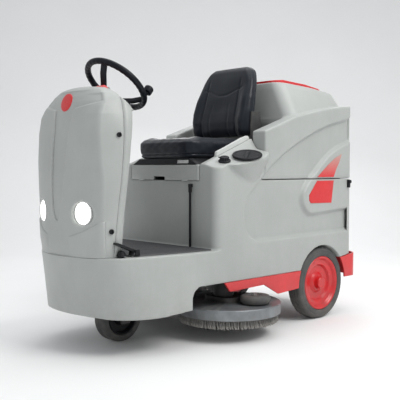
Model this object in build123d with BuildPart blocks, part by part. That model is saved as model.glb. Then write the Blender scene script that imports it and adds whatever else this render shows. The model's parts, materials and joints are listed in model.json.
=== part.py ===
from build123d import *
import math
import os

os.makedirs("parts", exist_ok=True)

# ---------------------------------------------------------------------------
# Ride-on scrubber dryer.  Millimetres.  +X forward, +Y machine's left, +Z up.
# All longitudinal dimensions are counted from the rear axle, and the planes
# below shift them so that the origin is the middle of the machine's footprint
# on the floor.
# ---------------------------------------------------------------------------
XO = 574.35           # rear axle to origin
REAR = -328.0         # rear face of the body
NOSE = 1493.6         # foremost point of the bumper
HALF_W = 390.0        # half width of the body
WALL = 12.0           # rotomoulded wall
BASE_Z = 172.0        # underside of the front bumper
DECK_Z = 451.0        # top of the foot platform
SEAM_Z = 786.0        # top of the solution tank, under the recovery tank
FRONT_WALL = 845.0    # footwell wall
SEAM_X = 497.0        # front of the recovery tank's side wings

REAR_R, REAR_TY = 200.0, (292.0, 387.0)     # rear wheel radius, inner and outer face
FRONT_X, FRONT_R = 1143.0, 118.0            # drive wheel
AXLE_R = 15.0

BRUSH_X, BRUSH_Y = 640.0, 272.0             # brush centres
GUARD_R, BRUSH_R = 268.0, 254.0             # splash guard and bristle radius
ROLLER = (606.0, 424.0, 193.0)              # bumper roller centre
ROLLER_R, ROLLER_T = 78.0, 44.0

WHEEL_C = (1149.0, 0.0, 1252.0)             # steering wheel centre
WHEEL_R, WHEEL_TUBE = 157.0, 16.0
TILT = math.radians(40.0)                   # steering wheel tilt

SEAT_HALF = 212.0
RUN = 0.05                                  # running clearance on a radius


def side(y):
    """Plane looking along the width at Y = y: sketch axes are X and Z, a positive extrude goes towards -Y."""
    return Plane(origin=(-XO, y, 0), x_dir=(1, 0, 0), z_dir=(0, -1, 0))


def top(z):
    """Horizontal plane at height z: sketch axes are X and Y."""
    return Plane(origin=(-XO, 0, z), x_dir=(1, 0, 0), z_dir=(0, 0, 1))


def front(x):
    """Plane across the machine at X = x: sketch axes are Y and Z, a positive extrude goes forward."""
    return Plane(origin=(x - XO, 0, 0), x_dir=(0, 1, 0), z_dir=(1, 0, 0))


def at(x, y, z, normal, x_dir=None):
    """Plane at a point in shop coordinates with a given normal."""
    if x_dir is None:
        return Plane(origin=(x - XO, y, z), z_dir=normal)
    return Plane(origin=(x - XO, y, z), x_dir=x_dir, z_dir=normal)


XZ = Plane(origin=(-XO, 0, 0), x_dir=(1, 0, 0), z_dir=(0, -1, 0))


def save(bp, name):
    bp.part.label = name
    export_step(bp.part, "parts/" + name + ".step")


# ---------------------------------------------------------------------------
# Plan outlines of the front bumper and platform (half outlines, left side)
# ---------------------------------------------------------------------------
LOW = [(1000, 392), (1170, 380), (1290, 345), (1365, 275), (1430, 165), (1462, 0)]
HIGH = [(1000, 386), (1170, 364), (1310, 330), (1390, 286), (1452, 172), (NOSE, 0)]


def outline(pts, rear_x, rear_y, inset=0.0):
    """Closed plan outline from a rear edge round the nose and back."""
    left = [(rear_x, rear_y - inset)] + [(x - inset * 1.0 * (x > 1200), max(y - inset, 0)) for x, y in pts]
    left[-1] = (pts[-1][0] - inset, 0)
    right = [(x, -y) for x, y in reversed(left[:-1])]
    with BuildSketch() as sk:
        with BuildLine():
            Spline(*left, tangents=[(1, 0), (0, -1)])
            Spline(left[-1], *right, tangents=[(0, -1), (-1, 0)])
            Line(right[-1], left[0])
        make_face()
    return sk.sketch


# ---------------------------------------------------------------------------
# Body shell: solution tank, footwell wall, platform and side consoles in one
# rotomoulded piece, open underneath
# ---------------------------------------------------------------------------
CONS_F = (845.0, 868.5)     # console crest, front
CONS_R = (497.0, 1002.5)    # console crest, rear
CAP = (630.0, 388.0, 902.5)
CAP_N = (0.2453, 0.2218, 0.9437)
KNOB = (758.0, 355.0, 877.0)
KNOB_N = (0.2453, 0.2218, 0.9437)

with BuildPart() as body_shell:
    with BuildSketch(side(HALF_W)):
        with BuildLine():
            Polyline((900, 290), (-105, 290), (-165, 332), (REAR, 350), (REAR, SEAM_Z), (SEAM_X, SEAM_Z),
                     CONS_R, CONS_F, (FRONT_WALL, 300), (900, 290), close=True)
        make_face()
    extrude(amount=2 * HALF_W)
    with BuildSketch(top(100)):
        with BuildLine():
            Polyline((REAR, 290), (REAR, -290))
            RadiusArc((REAR, -290), (REAR + 100, -HALF_W), -100)
            Polyline((REAR + 100, -HALF_W), (FRONT_WALL - 45, -HALF_W))
            RadiusArc((FRONT_WALL - 45, -HALF_W), (FRONT_WALL, -HALF_W + 45), -45)
            Polyline((FRONT_WALL, -HALF_W + 45), (FRONT_WALL, HALF_W - 45))
            RadiusArc((FRONT_WALL, HALF_W - 45), (FRONT_WALL - 45, HALF_W), -45)
            Polyline((FRONT_WALL - 45, HALF_W), (REAR + 100, HALF_W))
            RadiusArc((REAR + 100, HALF_W), (REAR, 290), -100)
        make_face()
    extrude(amount=1000, mode=Mode.INTERSECT)
    # recess between the consoles for the seat
    with BuildSketch(top(SEAM_Z)):
        with Locations(((SEAM_X + FRONT_WALL) / 2, 0)):
            Rectangle(FRONT_WALL - SEAM_X + 20, 2 * 268)
    extrude(amount=300, mode=Mode.SUBTRACT)
    # front bumper and platform, drawn in towards the top
    with BuildSketch(top(BASE_Z)):
        add(outline(LOW, 800, 392))
    with BuildSketch(top(DECK_Z)):
        add(outline(HIGH, 800, HALF_W))
    loft(ruled=True)
    # console pods that overhang the body sides
    for s in (1, -1):
        with BuildSketch(top(772)):
            with Locations((592, s * 374)):
                Ellipse(44, 15)
        with BuildSketch(top(893)):
            with Locations((648, s * 384)):
                Ellipse(168, 74)
        loft(ruled=True)
        with BuildSketch(top(893)):
            with Locations((648, s * 384)):
                Ellipse(168, 74)
        extrude(amount=70)
    # the consoles fall away outwards, more so at the rear
    for s in (1, -1):
        with BuildSketch(front(FRONT_WALL + 6)):
            with BuildLine():
                Polyline((s * 300, 867), (s * 300, 1150), (s * 480, 1150), (s * 480, 823.4), (s * 335, 857.4), close=True)
            make_face()
        with BuildSketch(front(SEAM_X - 2)):
            with BuildLine():
                Polyline((s * 300, 1001), (s * 300, 1150), (s * 480, 1150), (s * 480, 916), (s * 335, 950), close=True)
            make_face()
        loft(ruled=True, mode=Mode.SUBTRACT)
    # nothing of the consoles stands behind the wing faces
    for s in (1, -1):
        with BuildSketch(top(SEAM_Z)):
            with Locations((SEAM_X - 60, s * 400)):
                Rectangle(120, 120)
        extrude(amount=300, mode=Mode.SUBTRACT)
    # raised necks under the filler cap and the control knob
    with BuildSketch(at(*CAP, CAP_N)):
        Circle(66)
    extrude(amount=4)
    with BuildSketch(at(*CAP, CAP_N)):
        Circle(66)
    extrude(amount=-22)
    with BuildSketch(at(*CAP, CAP_N).offset(4)):
        Circle(79)
    extrude(amount=60, mode=Mode.SUBTRACT)
    with BuildSketch(at(*KNOB, KNOB_N)):
        Circle(34)
    extrude(amount=3)
    with BuildSketch(at(*KNOB, KNOB_N)):
        Circle(34)
    extrude(amount=-12)
    # hollow of the tank and the battery bay
    with BuildSketch(top(90)):
        with Locations(((REAR + FRONT_WALL) / 2, 0)):
            RectangleRounded(FRONT_WALL - REAR - 2 * WALL, 2 * (HALF_W - WALL), 60)
    extrude(amount=SEAM_Z - WALL - 90, mode=Mode.SUBTRACT)
    for s in (1, -1):
        with BuildSketch(top(SEAM_Z - WALL - 1)):
            with Locations(((SEAM_X + FRONT_WALL) / 2, s * 329)):
                RectangleRounded(FRONT_WALL - SEAM_X - 2 * WALL, 98, 36)
        extrude(amount=62, mode=Mode.SUBTRACT)
    # hollow of the bumper
    with BuildSketch(top(BASE_Z - 5)):
        add(outline(LOW, 700, 392, WALL))
    with BuildSketch(top(DECK_Z - 10)):
        add(outline(HIGH, 700, HALF_W, WALL))
    loft(ruled=True, mode=Mode.SUBTRACT)
    # the bumper stops in front of the brushes, with a round upper corner
    with BuildSketch(side(460)):
        with BuildLine():
            Polyline((700, 100), (1002, 100), (1002, 240), (990, 268), (958, 290), (700, 290), close=True)
        make_face()
    extrude(amount=920, mode=Mode.SUBTRACT)
    # the underside rises towards the nose
    with BuildSketch(side(460)):
        with BuildLine():
            Polyline((1370, 100), (1370, BASE_Z), (1520, 194), (1520, 100), close=True)
        make_face()
        with BuildLine():
            Polyline((960, 100), (960, BASE_Z + 14), (1180, BASE_Z), (1180, 100), close=True)
        make_face()
    extrude(amount=920, mode=Mode.SUBTRACT)
    # wheel houses: an inner wall and a liner over each rear wheel
    for s in (1, -1):
        with BuildSketch(side(s * 331 + 59)):
            with BuildLine():
                Line((-226, 300), (226, 300))
                ThreePointArc((226, 300), (0, 424), (-226, 300))
            make_face()
        extrude(amount=118)
        with BuildSketch(side(s * 351 + 69)):
            with Locations((0, REAR_R)):
                Circle(214)
        extrude(amount=138, mode=Mode.SUBTRACT)
    # the liners stop at the body's rear lower edge
    with BuildSketch(side(420)):
        with BuildLine():
            Polyline((-400, 200), (-105, 200), (-105, 290), (-165, 332), (REAR, 350), (-400, 356), close=True)
        make_face()
    extrude(amount=840, mode=Mode.SUBTRACT)
    # battery hatch under the seat
    with BuildSketch(top(700)):
        with Locations((575, 0)):
            Rectangle(480, 470)
    extrude(amount=150, mode=Mode.SUBTRACT)
    # opening for the drive unit's wiring and the steering gear under the column
    with BuildSketch(top(400)):
        with Locations((1385, 0)):
            Circle(36)
    extrude(amount=80, mode=Mode.SUBTRACT)
save(body_shell, "body_shell")

# ---------------------------------------------------------------------------
# Chassis, axle, batteries
# ---------------------------------------------------------------------------
with BuildPart() as chassis_frame:
    for s in (1, -1):
        with BuildSketch(top(345)):
            with Locations((405, s * 220)):
                Rectangle(1330, 40)
        extrude(amount=50)
    for x in (-240, 250, 900):
        with BuildSketch(top(345)):
            with Locations((x, 0)):
                Rectangle(40, 400)
        extrude(amount=50)
    # battery tray
    with BuildSketch(top(395)):
        with Locations((565, 0)):
            Rectangle(520, 480)
    extrude(amount=6)
    # drive unit plate with its steering bore
    with BuildSketch(top(403)):
        with Locations((1140, 0)):
            Rectangle(300, 470)
    extrude(amount=10)
    with BuildSketch(top(395)):
        with Locations((1030, 220), (1030, -220)):
            Rectangle(80, 40)
    extrude(amount=8)
    with BuildSketch(top(380)):
        with Locations((FRONT_X, 0)):
            Circle(40 + RUN)
    extrude(amount=60, mode=Mode.SUBTRACT)
    # axle brackets
    for s in (1, -1):
        with BuildSketch(side(s * 236 + 6)):
            with BuildLine():
                Polyline((-60, 360), (-34, 175), (34, 175), (60, 360), close=True)
            make_face()
        extrude(amount=12)
    with BuildSketch(side(250)):
        with Locations((0, REAR_R)):
            Circle(AXLE_R)
    extrude(amount=500, mode=Mode.SUBTRACT)
    # rear drop for the squeegee hitch
    with BuildSketch(top(252)):
        with Locations((-240, 0)):
            Rectangle(30, 160)
    extrude(amount=94)
    # hitch ears and pin for the squeegee arm
    for y in (36, -26):
        with BuildSketch(side(y)):
            with BuildLine():
                Polyline((-226, 205), (-226, 300), (-196, 300), (-150, 238), (-150, 205), close=True)
            make_face()
        extrude(amount=10)
    with BuildSketch(side(27)):
        with Locations((-168, 222)):
            Circle(8)
    extrude(amount=54)
save(chassis_frame, "chassis_frame")

with BuildPart() as rear_axle:
    with BuildSketch(side(380)):
        with Locations((0, REAR_R)):
            Circle(AXLE_R)
    extrude(amount=760)
save(rear_axle, "rear_axle")

with BuildPart() as battery_pack:
    with BuildSketch(top(401.4)):
        with Locations((565, 0)):
            with GridLocations(166, 232, 3, 2):
                RectangleRounded(160, 226, 6)
    extrude(amount=270)
    with BuildSketch(top(671.4)):
        with Locations((565, 0)):
            with GridLocations(166, 232, 3, 2):
                with GridLocations(0, 150, 1, 2):
                    Circle(9)
    extrude(amount=16)
save(battery_pack, "battery_pack")

# ---------------------------------------------------------------------------
# Rear wheels
# ---------------------------------------------------------------------------
TY0, TY1 = REAR_TY
for s, tag in ((1, "left"), (-1, "right")):
    with BuildPart() as rear_tyre:
        with BuildSketch(at(0, 0, REAR_R, (0, 0, 1), (0, s, 0))):
            with BuildLine():
                Polyline((TY0 + 6, 150), (TY0, 165), (TY0 + 2, 186), (TY0 + 12, 197), (TY0 + 26, REAR_R),
                         (TY1 - 26, REAR_R), (TY1 - 12, 197), (TY1 - 2, 186), (TY1, 165), (TY1 - 6, 150), close=True)
            make_face()
        revolve(axis=Axis((-XO, 0, REAR_R), (0, 1, 0)), revolution_arc=360)
    save(rear_tyre, "rear_tyre_" + tag)
    with BuildPart() as rear_rim:
        with BuildSketch(at(0, 0, REAR_R, (0, 0, 1), (0, s, 0))):
            with BuildLine():
                Polyline((TY0 + 8, AXLE_R + RUN), (TY0 + 8, 40), (TY0 + 34, 60), (TY0 + 34, 118), (TY0 + 10, 128),
                         (TY0 + 6, 150), (TY1 - 6, 150), (TY1 - 3, 146), (TY1 - 8, 138), (TY1 - 22, 128),
                         (TY1 - 26, 104), (TY1 - 40, 96), (TY1 - 42, 60), (TY1 - 30, 44), (TY1 - 28, 36),
                         (TY1 - 4, 32), (TY1, 27), (TY1, 0.0), (TY1 - 6, 0.0), (TY1 - 6, AXLE_R + RUN), close=True)
            make_face()
        revolve(axis=Axis((-XO, 0, REAR_R), (0, 1, 0)), revolution_arc=360)
    save(rear_rim, "rear_rim_" + tag)

# ---------------------------------------------------------------------------
# Front drive and steering unit
# ---------------------------------------------------------------------------
with BuildPart() as drive_fork:
    with BuildSketch(top(384)):
        with Locations((FRONT_X - 10, 0)):
            RectangleRounded(200, 132, 20)
    extrude(amount=9)
    with BuildSketch(top(393)):
        with Locations((FRONT_X, 0)):
            Circle(40)
    extrude(amount=31)
    for s in (1, -1):
        with BuildSketch(side(s * 56 + 5)):
            with BuildLine():
                Polyline((FRONT_X - 50, 388), (FRONT_X - 26, 92), (FRONT_X + 26, 92), (FRONT_X + 50, 388), close=True)
            make_face()
        extrude(amount=10)
    with BuildSketch(side(66)):
        with Locations((FRONT_X, FRONT_R)):
            Circle(12)
    extrude(amount=132)
save(drive_fork, "drive_fork")

with BuildPart() as drive_motor:
    with BuildSketch(top(126)):
        with Locations((FRONT_X - 166, 0)):
            Circle(42)
    extrude(amount=150)
    with BuildSketch(top(276)):
        with Locations((FRONT_X - 166, 0)):
            Circle(34)
    extrude(amount=20)
    # gearbox arm joining the motor to the fork
    with BuildSketch(top(296)):
        with Locations((FRONT_X - 104, 0)):
            RectangleRounded(190, 84, 30)
        with Locations((FRONT_X - 10, 0)):
            Rectangle(40, 102)
    extrude(amount=42)
save(drive_motor, "drive_motor")

with BuildPart() as front_rim:
    with BuildSketch(at(FRONT_X, 0, FRONT_R, (0, 0, 1), (0, 1, 0))):
        with BuildLine():
            Polyline((-46, 12 + RUN), (-46, 34), (-20, 40), (-20, 70), (-42, 76), (-42, 82), (42, 82), (42, 76),
                     (20, 70), (20, 40), (46, 34), (46, 12 + RUN), close=True)
        make_face()
    revolve(axis=Axis((FRONT_X - XO, 0, FRONT_R), (0, 1, 0)), revolution_arc=360)
save(front_rim, "front_rim")

with BuildPart() as front_tyre:
    with BuildSketch(at(FRONT_X, 0, FRONT_R, (0, 0, 1), (0, 1, 0))):
        with BuildLine():
            Polyline((-42, 82), (-43, 108), (-36, 116), (-24, FRONT_R), (24, FRONT_R), (36, 116), (43, 108), (42, 82),
                     close=True)
        make_face()
    revolve(axis=Axis((FRONT_X - XO, 0, FRONT_R), (0, 1, 0)), revolution_arc=360)
save(front_tyre, "front_tyre")

# ---------------------------------------------------------------------------
# Brush deck
# ---------------------------------------------------------------------------
with BuildPart() as deck_housing:
    with BuildSketch(top(117)):
        with Locations((BRUSH_X, BRUSH_Y), (BRUSH_X, -BRUSH_Y)):
            Circle(GUARD_R)
        with Locations((BRUSH_X, 0)):
            Rectangle(220, 160)
    extrude(amount=51)
    fillet(deck_housing.faces().sort_by(Axis.Z)[-1].edges(), 6)
    with BuildSketch(top(110)):
        with Locations((BRUSH_X, BRUSH_Y), (BRUSH_X, -BRUSH_Y)):
            Circle(GUARD_R - 5)
    extrude(amount=52, mode=Mode.SUBTRACT)
    with BuildSketch(top(110)):
        with Locations((BRUSH_X, BRUSH_Y), (BRUSH_X, -BRUSH_Y)):
            Circle(22)
    extrude(amount=70, mode=Mode.SUBTRACT)
    # lift yoke between the discs
    with BuildSketch(top(168)):
        with Locations((BRUSH_X, 0)):
            RectangleRounded(180, 120, 12)
    extrude(amount=14)
    with BuildSketch(top(182)):
        with Locations((BRUSH_X, 0)):
            with GridLocations(110, 0, 2, 1):
                Circle(12)
    extrude(amount=120)
    # roller posts
    with BuildSketch(top(168)):
        with Locations((ROLLER[0], ROLLER[1]), (ROLLER[0], -ROLLER[1])):
            Circle(20)
    extrude(amount=2)
save(deck_housing, "deck_housing")

with BuildPart() as brush_motors:
    for s in (1, -1):
        with BuildSketch(top(168)):
            with Locations((BRUSH_X, s * (BRUSH_Y - 30))):
                RectangleRounded(150, 190, 40)
        extrude(amount=26)
        with BuildSketch(top(194)):
            with Locations((BRUSH_X, s * (BRUSH_Y - 40))):
                Circle(52)
        extrude(amount=82)
        with BuildSketch(top(160)):
            with Locations((BRUSH_X, s * BRUSH_Y)):
                Circle(10 + RUN)
        extrude(amount=20, mode=Mode.SUBTRACT)
save(brush_motors, "brush_motors")

for s, tag in ((1, "left"), (-1, "right")):
    with BuildPart() as brush_disc:
        with BuildSketch(top(136)):
            with Locations((BRUSH_X, s * BRUSH_Y)):
                Circle(BRUSH_R - 10)
        extrude(amount=12)
        with BuildSketch(top(148)):
            with Locations((BRUSH_X, s * BRUSH_Y)):
                Circle(46)
        extrude(amount=10)
        with BuildSketch(top(158)):
            with Locations((BRUSH_X, s * BRUSH_Y)):
                Circle(10)
        extrude(amount=21)
    save(brush_disc, "brush_disc_" + tag)
    with BuildPart() as bristles:
        with BuildSketch(at(BRUSH_X, s * BRUSH_Y, 0, (0, -1, 0), (1, 0, 0))):
            with BuildLine():
                Polyline((110, 72), (BRUSH_R, 72), (BRUSH_R - 12, 136), (110, 136), close=True)
            make_face()
        revolve(axis=Axis((BRUSH_X - XO, s * BRUSH_Y, 0), (0, 0, 1)), revolution_arc=360)
    save(bristles, "bristles_" + tag)
    with BuildPart() as bumper_roller:
        with BuildSketch(at(ROLLER[0], s * ROLLER[1], ROLLER[2], (0, -1, 0), (1, 0, 0))):
            with BuildLine():
                Polyline((9 + RUN, -ROLLER_T / 2), (ROLLER_R - 14, -ROLLER_T / 2), (ROLLER_R - 4, -ROLLER_T / 2 + 6),
                         (ROLLER_R, -6), (ROLLER_R, 6), (ROLLER_R - 4, ROLLER_T / 2 - 6), (ROLLER_R - 14, ROLLER_T / 2),
                         (34, ROLLER_T / 2), (30, ROLLER_T / 2 - 6), (9 + RUN, ROLLER_T / 2 - 6), close=True)
            make_face()
        revolve(axis=Axis((ROLLER[0] - XO, s * ROLLER[1], 0), (0, 0, 1)), revolution_arc=360)
    save(bumper_roller, "bumper_roller_" + tag)

with BuildPart() as roller_bolts:
    for s in (1, -1):
        with BuildSketch(top(170)):
            with Locations((ROLLER[0], s * ROLLER[1])):
                Circle(9)
        extrude(amount=ROLLER[2] + ROLLER_T / 2 - 6 + 1 - 170)
        with BuildSketch(top(ROLLER[2] + ROLLER_T / 2 - 5)):
            with Locations((ROLLER[0], s * ROLLER[1])):
                Circle(16)
        extrude(amount=3)
        with BuildSketch(top(ROLLER[2] + ROLLER_T / 2 - 2)):
            with Locations((ROLLER[0], s * ROLLER[1])):
                RegularPolygon(10, 6)
        extrude(amount=8)
save(roller_bolts, "roller_bolts")

# ---------------------------------------------------------------------------
# Skirts and side trim
# ---------------------------------------------------------------------------
with BuildPart() as side_skirts:
    for y_out in (392, -382):
        with BuildSketch(side(y_out)):
            with BuildLine():
                Polyline((792, 289), (752, 242), (500, 248), (386, 187), (216, 196), (196, 289), close=True)
            make_face()
        extrude(amount=10)
    with BuildSketch(side(460)):
        with Locations((0, REAR_R)):
            Circle(214)
    extrude(amount=920, mode=Mode.SUBTRACT)
save(side_skirts, "side_skirts")

with BuildPart() as rear_skirt:
    with BuildSketch(top(213)):
        with BuildLine():
            Polyline((REAR - 17, 330), (REAR - 17, -330))
            RadiusArc((REAR - 17, -330), (REAR + 45, -392), -62)
            Polyline((REAR + 45, -392), (-120, -392), (-120, 392), (REAR + 45, 392))
            RadiusArc((REAR + 45, 392), (REAR - 17, 330), -62)
        make_face()
    extrude(amount=138)
    with BuildSketch(top(200)):
        with Locations((-200, 0)):
            RectangleRounded(274, 764, 50)
    extrude(amount=200, mode=Mode.SUBTRACT)
    with BuildSketch(side(460)):
        with Locations((0, REAR_R)):
            Circle(214)
    extrude(amount=920, mode=Mode.SUBTRACT)
    with BuildSketch(side(460)):
        with BuildLine():
            Polyline((-100, 500), (-100, 289), (-105, 289), (-165, 331), (REAR, 349), (-400, 356), (-400, 500), close=True)
        make_face()
    extrude(amount=920, mode=Mode.SUBTRACT)
    with BuildSketch(top(150)):
        with Locations((-110, 0)):
            Rectangle(60, 900)
    extrude(amount=90, mode=Mode.SUBTRACT)
save(rear_skirt, "rear_skirt")

with BuildPart() as side_panels_lower:
    for s in (1, -1):
        with BuildSketch(side(HALF_W + 3 if s == 1 else -HALF_W)):
            with BuildLine():
                Polyline((57, 778), (128, 700), (127, 672), (114, 655), (-76, 652), (-97, 778), close=True)
            make_face()
        extrude(amount=3)
save(side_panels_lower, "side_panels_lower")

# ---------------------------------------------------------------------------
# Steering column fairing
# ---------------------------------------------------------------------------
COL_BOTTOM = DECK_Z + 0.5


def column_block(inset, low):
    """Fairing body: side profile, front profile and plan outline intersected."""
    i = inset
    with BuildPart() as blk:
        with BuildSketch(side(320)):
            with BuildLine():
                Polyline((1312 + i, low), (1478 - i, low), (1487 - i, 647), (1476 - i, 850), (1456 - i, 1030),
                         (1436 - i, 1146), (1418 - i, 1180 - i), (1392 - i, 1206 - i), (1366, 1216 - i),
                         (1340.6, 1216 - i), (1240 + i, 1104 - i), (1272 + i, 950), (1290 + i, 760), close=True)
            make_face()
        extrude(amount=640)
        h = [(262 - i, low), (268 - i, 650), (281 - i, 860), (280 - i, 960), (270 - i, 1050), (254 - i, 1110 - i),
             (237 - i, 1150 - i), (212 - i, 1182 - i), (176 - i, 1204 - i), (120 - i, 1213 - i)]
        with BuildSketch(front(1150)):
            with BuildLine():
                Polyline(*h, (-120 + i, 1213 - i), *[(-y, z) for y, z in reversed(h[:-1])], close=True)
            make_face()
        extrude(amount=400, mode=Mode.INTERSECT)
        p = [(1423 - i, 253 - 0.4 * i), (1445 - i, 202), (1465 - i, 140), (1481 - i, 70), (1487 - i, 0)]
        with BuildSketch(top(400)):
            with BuildLine():
                Spline(*p, tangents=[(0.38, -1), (0, -1)])
                Spline(*[(x, -y) for x, y in reversed(p)], tangents=[(0, -1), (-0.38, -1)])
                Polyline((p[0][0], -p[0][1]), (1396 - i, -282), (1330, -340), (1200, -340), (1200, 340), (1330, 340),
                         (1396 - i, 282), p[0])
            make_face()
        extrude(amount=900, mode=Mode.INTERSECT)
    return blk.part


column_outer = column_block(0.0, COL_BOTTOM)
column_inner = column_block(6.0, COL_BOTTOM - 20)
# parting line between the covers leans back towards the top
PART_DIR = Vector(1307 - 1362, 0, 1118 - 500).normalized()
PART_N = Vector(PART_DIR.Z, 0, -PART_DIR.X)
SHAFT_D = (math.sin(TILT), 0, -math.cos(TILT))     # from the wheel into the column
WHEEL_N = (-math.sin(TILT), 0, math.cos(TILT))

LAMP_C, LAMP_S = math.cos(math.radians(9)), math.sin(math.radians(9))
with BuildPart() as column_front_cover:
    add(column_outer)
    add(column_inner, mode=Mode.SUBTRACT)
    split(bisect_by=Plane(origin=(1362 - XO + 1.2, 0, 500), z_dir=PART_N), keep=Keep.TOP)
    for s in (1, -1):
        with BuildSketch(at(1451, s * 160, 647, (LAMP_C, s * LAMP_S, 0))):
            Circle(56)
        extrude(amount=70, both=True, mode=Mode.SUBTRACT)
save(column_front_cover, "column_front_cover")

with BuildPart() as column_rear_cover:
    add(column_outer)
    add(column_inner, mode=Mode.SUBTRACT)
    split(bisect_by=Plane(origin=(1362 - XO - 1.2, 0, 500), z_dir=PART_N), keep=Keep.BOTTOM)
    with BuildSketch(at(*WHEEL_C, SHAFT_D)):
        Circle(20)
    extrude(amount=330, mode=Mode.SUBTRACT)
save(column_rear_cover, "column_rear_cover")

with BuildPart() as headlight_bezels:
    for s in (1, -1):
        with BuildSketch(at(1451, s * 160, 647, (LAMP_C, s * LAMP_S, 0)).offset(-26)):
            Circle(55.6)
            Circle(50, mode=Mode.SUBTRACT)
        extrude(amount=32)
save(headlight_bezels, "headlight_bezels")

with BuildPart() as headlight_lenses:
    for s in (1, -1):
        with BuildSketch(at(1451, s * 160, 647, (LAMP_C, s * LAMP_S, 0)).offset(-22)):
            Circle(49.8)
        extrude(amount=22)
        with BuildSketch(at(1451, s * 160, 647, (LAMP_C, s * LAMP_S, 0))):
            Circle(44)
        extrude(amount=3)
save(headlight_lenses, "headlight_lenses")

with BuildPart() as column_screws:
    for s in (1, -1):
        for x, y, z in ((1344, 280.8, 994), (1380, 269.5, 568)):
            with BuildSketch(at(x, s * (y - 3), z, (0, s, 0))):
                Circle(11)
            extrude(amount=8)
            with BuildSketch(at(x, s * (y + 5), z, (0, s, 0))):
                Circle(6)
            extrude(amount=-4, mode=Mode.SUBTRACT)
save(column_screws, "column_screws")

with BuildPart() as badge_disc:
    with BuildSketch(at(1437.2, 0, 1146, (0.964, 0, 0.265))):
        Circle(43)
    extrude(amount=5)
save(badge_disc, "badge_disc")

# sloping dash between the top of the column and the driver
DASH_U = Vector(1240 - 1346, 0, 1104 - 1222).normalized()
DASH_N = Vector(DASH_U.Z, 0, -DASH_U.X) * 1.0
if DASH_N.Z < 0:
    DASH_N = DASH_N * -1.0
DASH_O = (1293.0, 0.0, 1163.0)
dash_plane = Plane(origin=(DASH_O[0] - XO, 0, DASH_O[2]), x_dir=(0, 1, 0), z_dir=(DASH_N.X, 0, DASH_N.Z))
with BuildPart() as dash_panel:
    with BuildSketch(dash_plane.offset(0.6)):
        RectangleRounded(300, 138, 22)
    extrude(amount=9)
    with BuildSketch(dash_plane.offset(9.6)):
        RectangleRounded(276, 114, 14)
    extrude(amount=-3, mode=Mode.SUBTRACT)
    # raised switch housing on the driver's left
    with BuildSketch(dash_plane.offset(6)):
        with Locations((96, 0)):
            RectangleRounded(84, 118, 16)
    extrude(amount=24)
    # bore for the stop button's stem
    with BuildSketch(dash_plane.offset(-2)):
        with Locations((-100, -22)):
            Circle(9.6)
    extrude(amount=20, mode=Mode.SUBTRACT)
    with BuildSketch(at(*WHEEL_C, SHAFT_D)):
        Circle(20)
    extrude(amount=330, mode=Mode.SUBTRACT)
save(dash_panel, "dash_panel")

with BuildPart() as estop_button:
    with BuildSketch(dash_plane.offset(7.2)):
        with Locations((-100, -22)):
            Circle(9)
    extrude(amount=16)
    with BuildSketch(dash_plane.offset(23.2)):
        with Locations((-100, -22)):
            Circle(20)
    extrude(amount=14)
save(estop_button, "estop_button")

with BuildPart() as ignition_key:
    with BuildSketch(dash_plane.offset(30.4)):
        with Locations((100, -16)):
            Circle(11)
    extrude(amount=6)
    with BuildSketch(dash_plane.offset(36.4)):
        with Locations((100, -16)):
            Rectangle(4, 22)
    extrude(amount=24)
save(ignition_key, "ignition_key")

# ---------------------------------------------------------------------------
# Steering wheel
# ---------------------------------------------------------------------------
wheel_plane = Plane(origin=(WHEEL_C[0] - XO, 0, WHEEL_C[2]), x_dir=(0, 1, 0), z_dir=WHEEL_N)
with BuildPart(wheel_plane) as steering_rim:
    Torus(WHEEL_R, WHEEL_TUBE)
save(steering_rim, "steering_rim")

WU = Vector(0, 1, 0)
WV = Vector(-math.cos(TILT), 0, -math.sin(TILT))
WN = Vector(*WHEEL_N)
with BuildPart() as steering_hub:
    with BuildSketch(wheel_plane.offset(-92)):
        Circle(40)
    extrude(amount=30)
    # three spokes dished down to the hub
    for a in (-70, 50, 170):
        rad = WU * math.cos(math.radians(a)) + WV * math.sin(math.radians(a))
        tan = WU * -math.sin(math.radians(a)) + WV * math.cos(math.radians(a))
        org = Vector(WHEEL_C[0] - XO, 0, WHEEL_C[2]) + tan * 13
        with BuildSketch(Plane(origin=org, x_dir=rad, z_dir=tan * -1)):
            with BuildLine():
                Polyline((24, -88), (24, -70), (58, -61), (106, -28), (138, 5), (150, 3), (150, -6), (118, -39),
                         (64, -74), close=True)
            make_face()
        extrude(amount=26)
save(steering_hub, "steering_hub")

with BuildPart() as steering_shaft:
    with BuildSketch(wheel_plane.offset(-92)):
        Circle(9)
    extrude(amount=-178)
save(steering_shaft, "steering_shaft")

with BuildPart() as steering_column_tube:
    with BuildSketch(wheel_plane.offset(-98)):
        Circle(17)
        Circle(9 + RUN, mode=Mode.SUBTRACT)
    extrude(amount=-164)
save(steering_column_tube, "steering_column_tube")

KA = math.radians(37)
with BuildPart() as spinner_knob:
    with BuildSketch(wheel_plane.offset(WHEEL_TUBE + 0.5)):
        with Locations((WHEEL_R * math.cos(KA), WHEEL_R * math.sin(KA))):
            Circle(11)
    extrude(amount=10)
    with BuildSketch(wheel_plane.offset(WHEEL_TUBE + 10.5)):
        with Locations((WHEEL_R * math.cos(KA), WHEEL_R * math.sin(KA))):
            Circle(23)
    extrude(amount=34)
    fillet(spinner_knob.faces().sort_by(Axis((0, 0, 0), WHEEL_N))[-1].edges(), 12)
save(spinner_knob, "spinner_knob")

# ---------------------------------------------------------------------------
# Footwell: mat, pedals, level hose
# ---------------------------------------------------------------------------
with BuildPart() as floor_mat:
    with BuildSketch(top(DECK_Z + 0.4)):
        with BuildLine():
            Polyline((852, -362), (1000, -352), (1170, -330), (1294, -300), (1294, 300), (1170, 330), (1000, 352),
                     (852, 362), close=True)
        make_face()
    extrude(amount=6)
save(floor_mat, "floor_mat")

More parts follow.
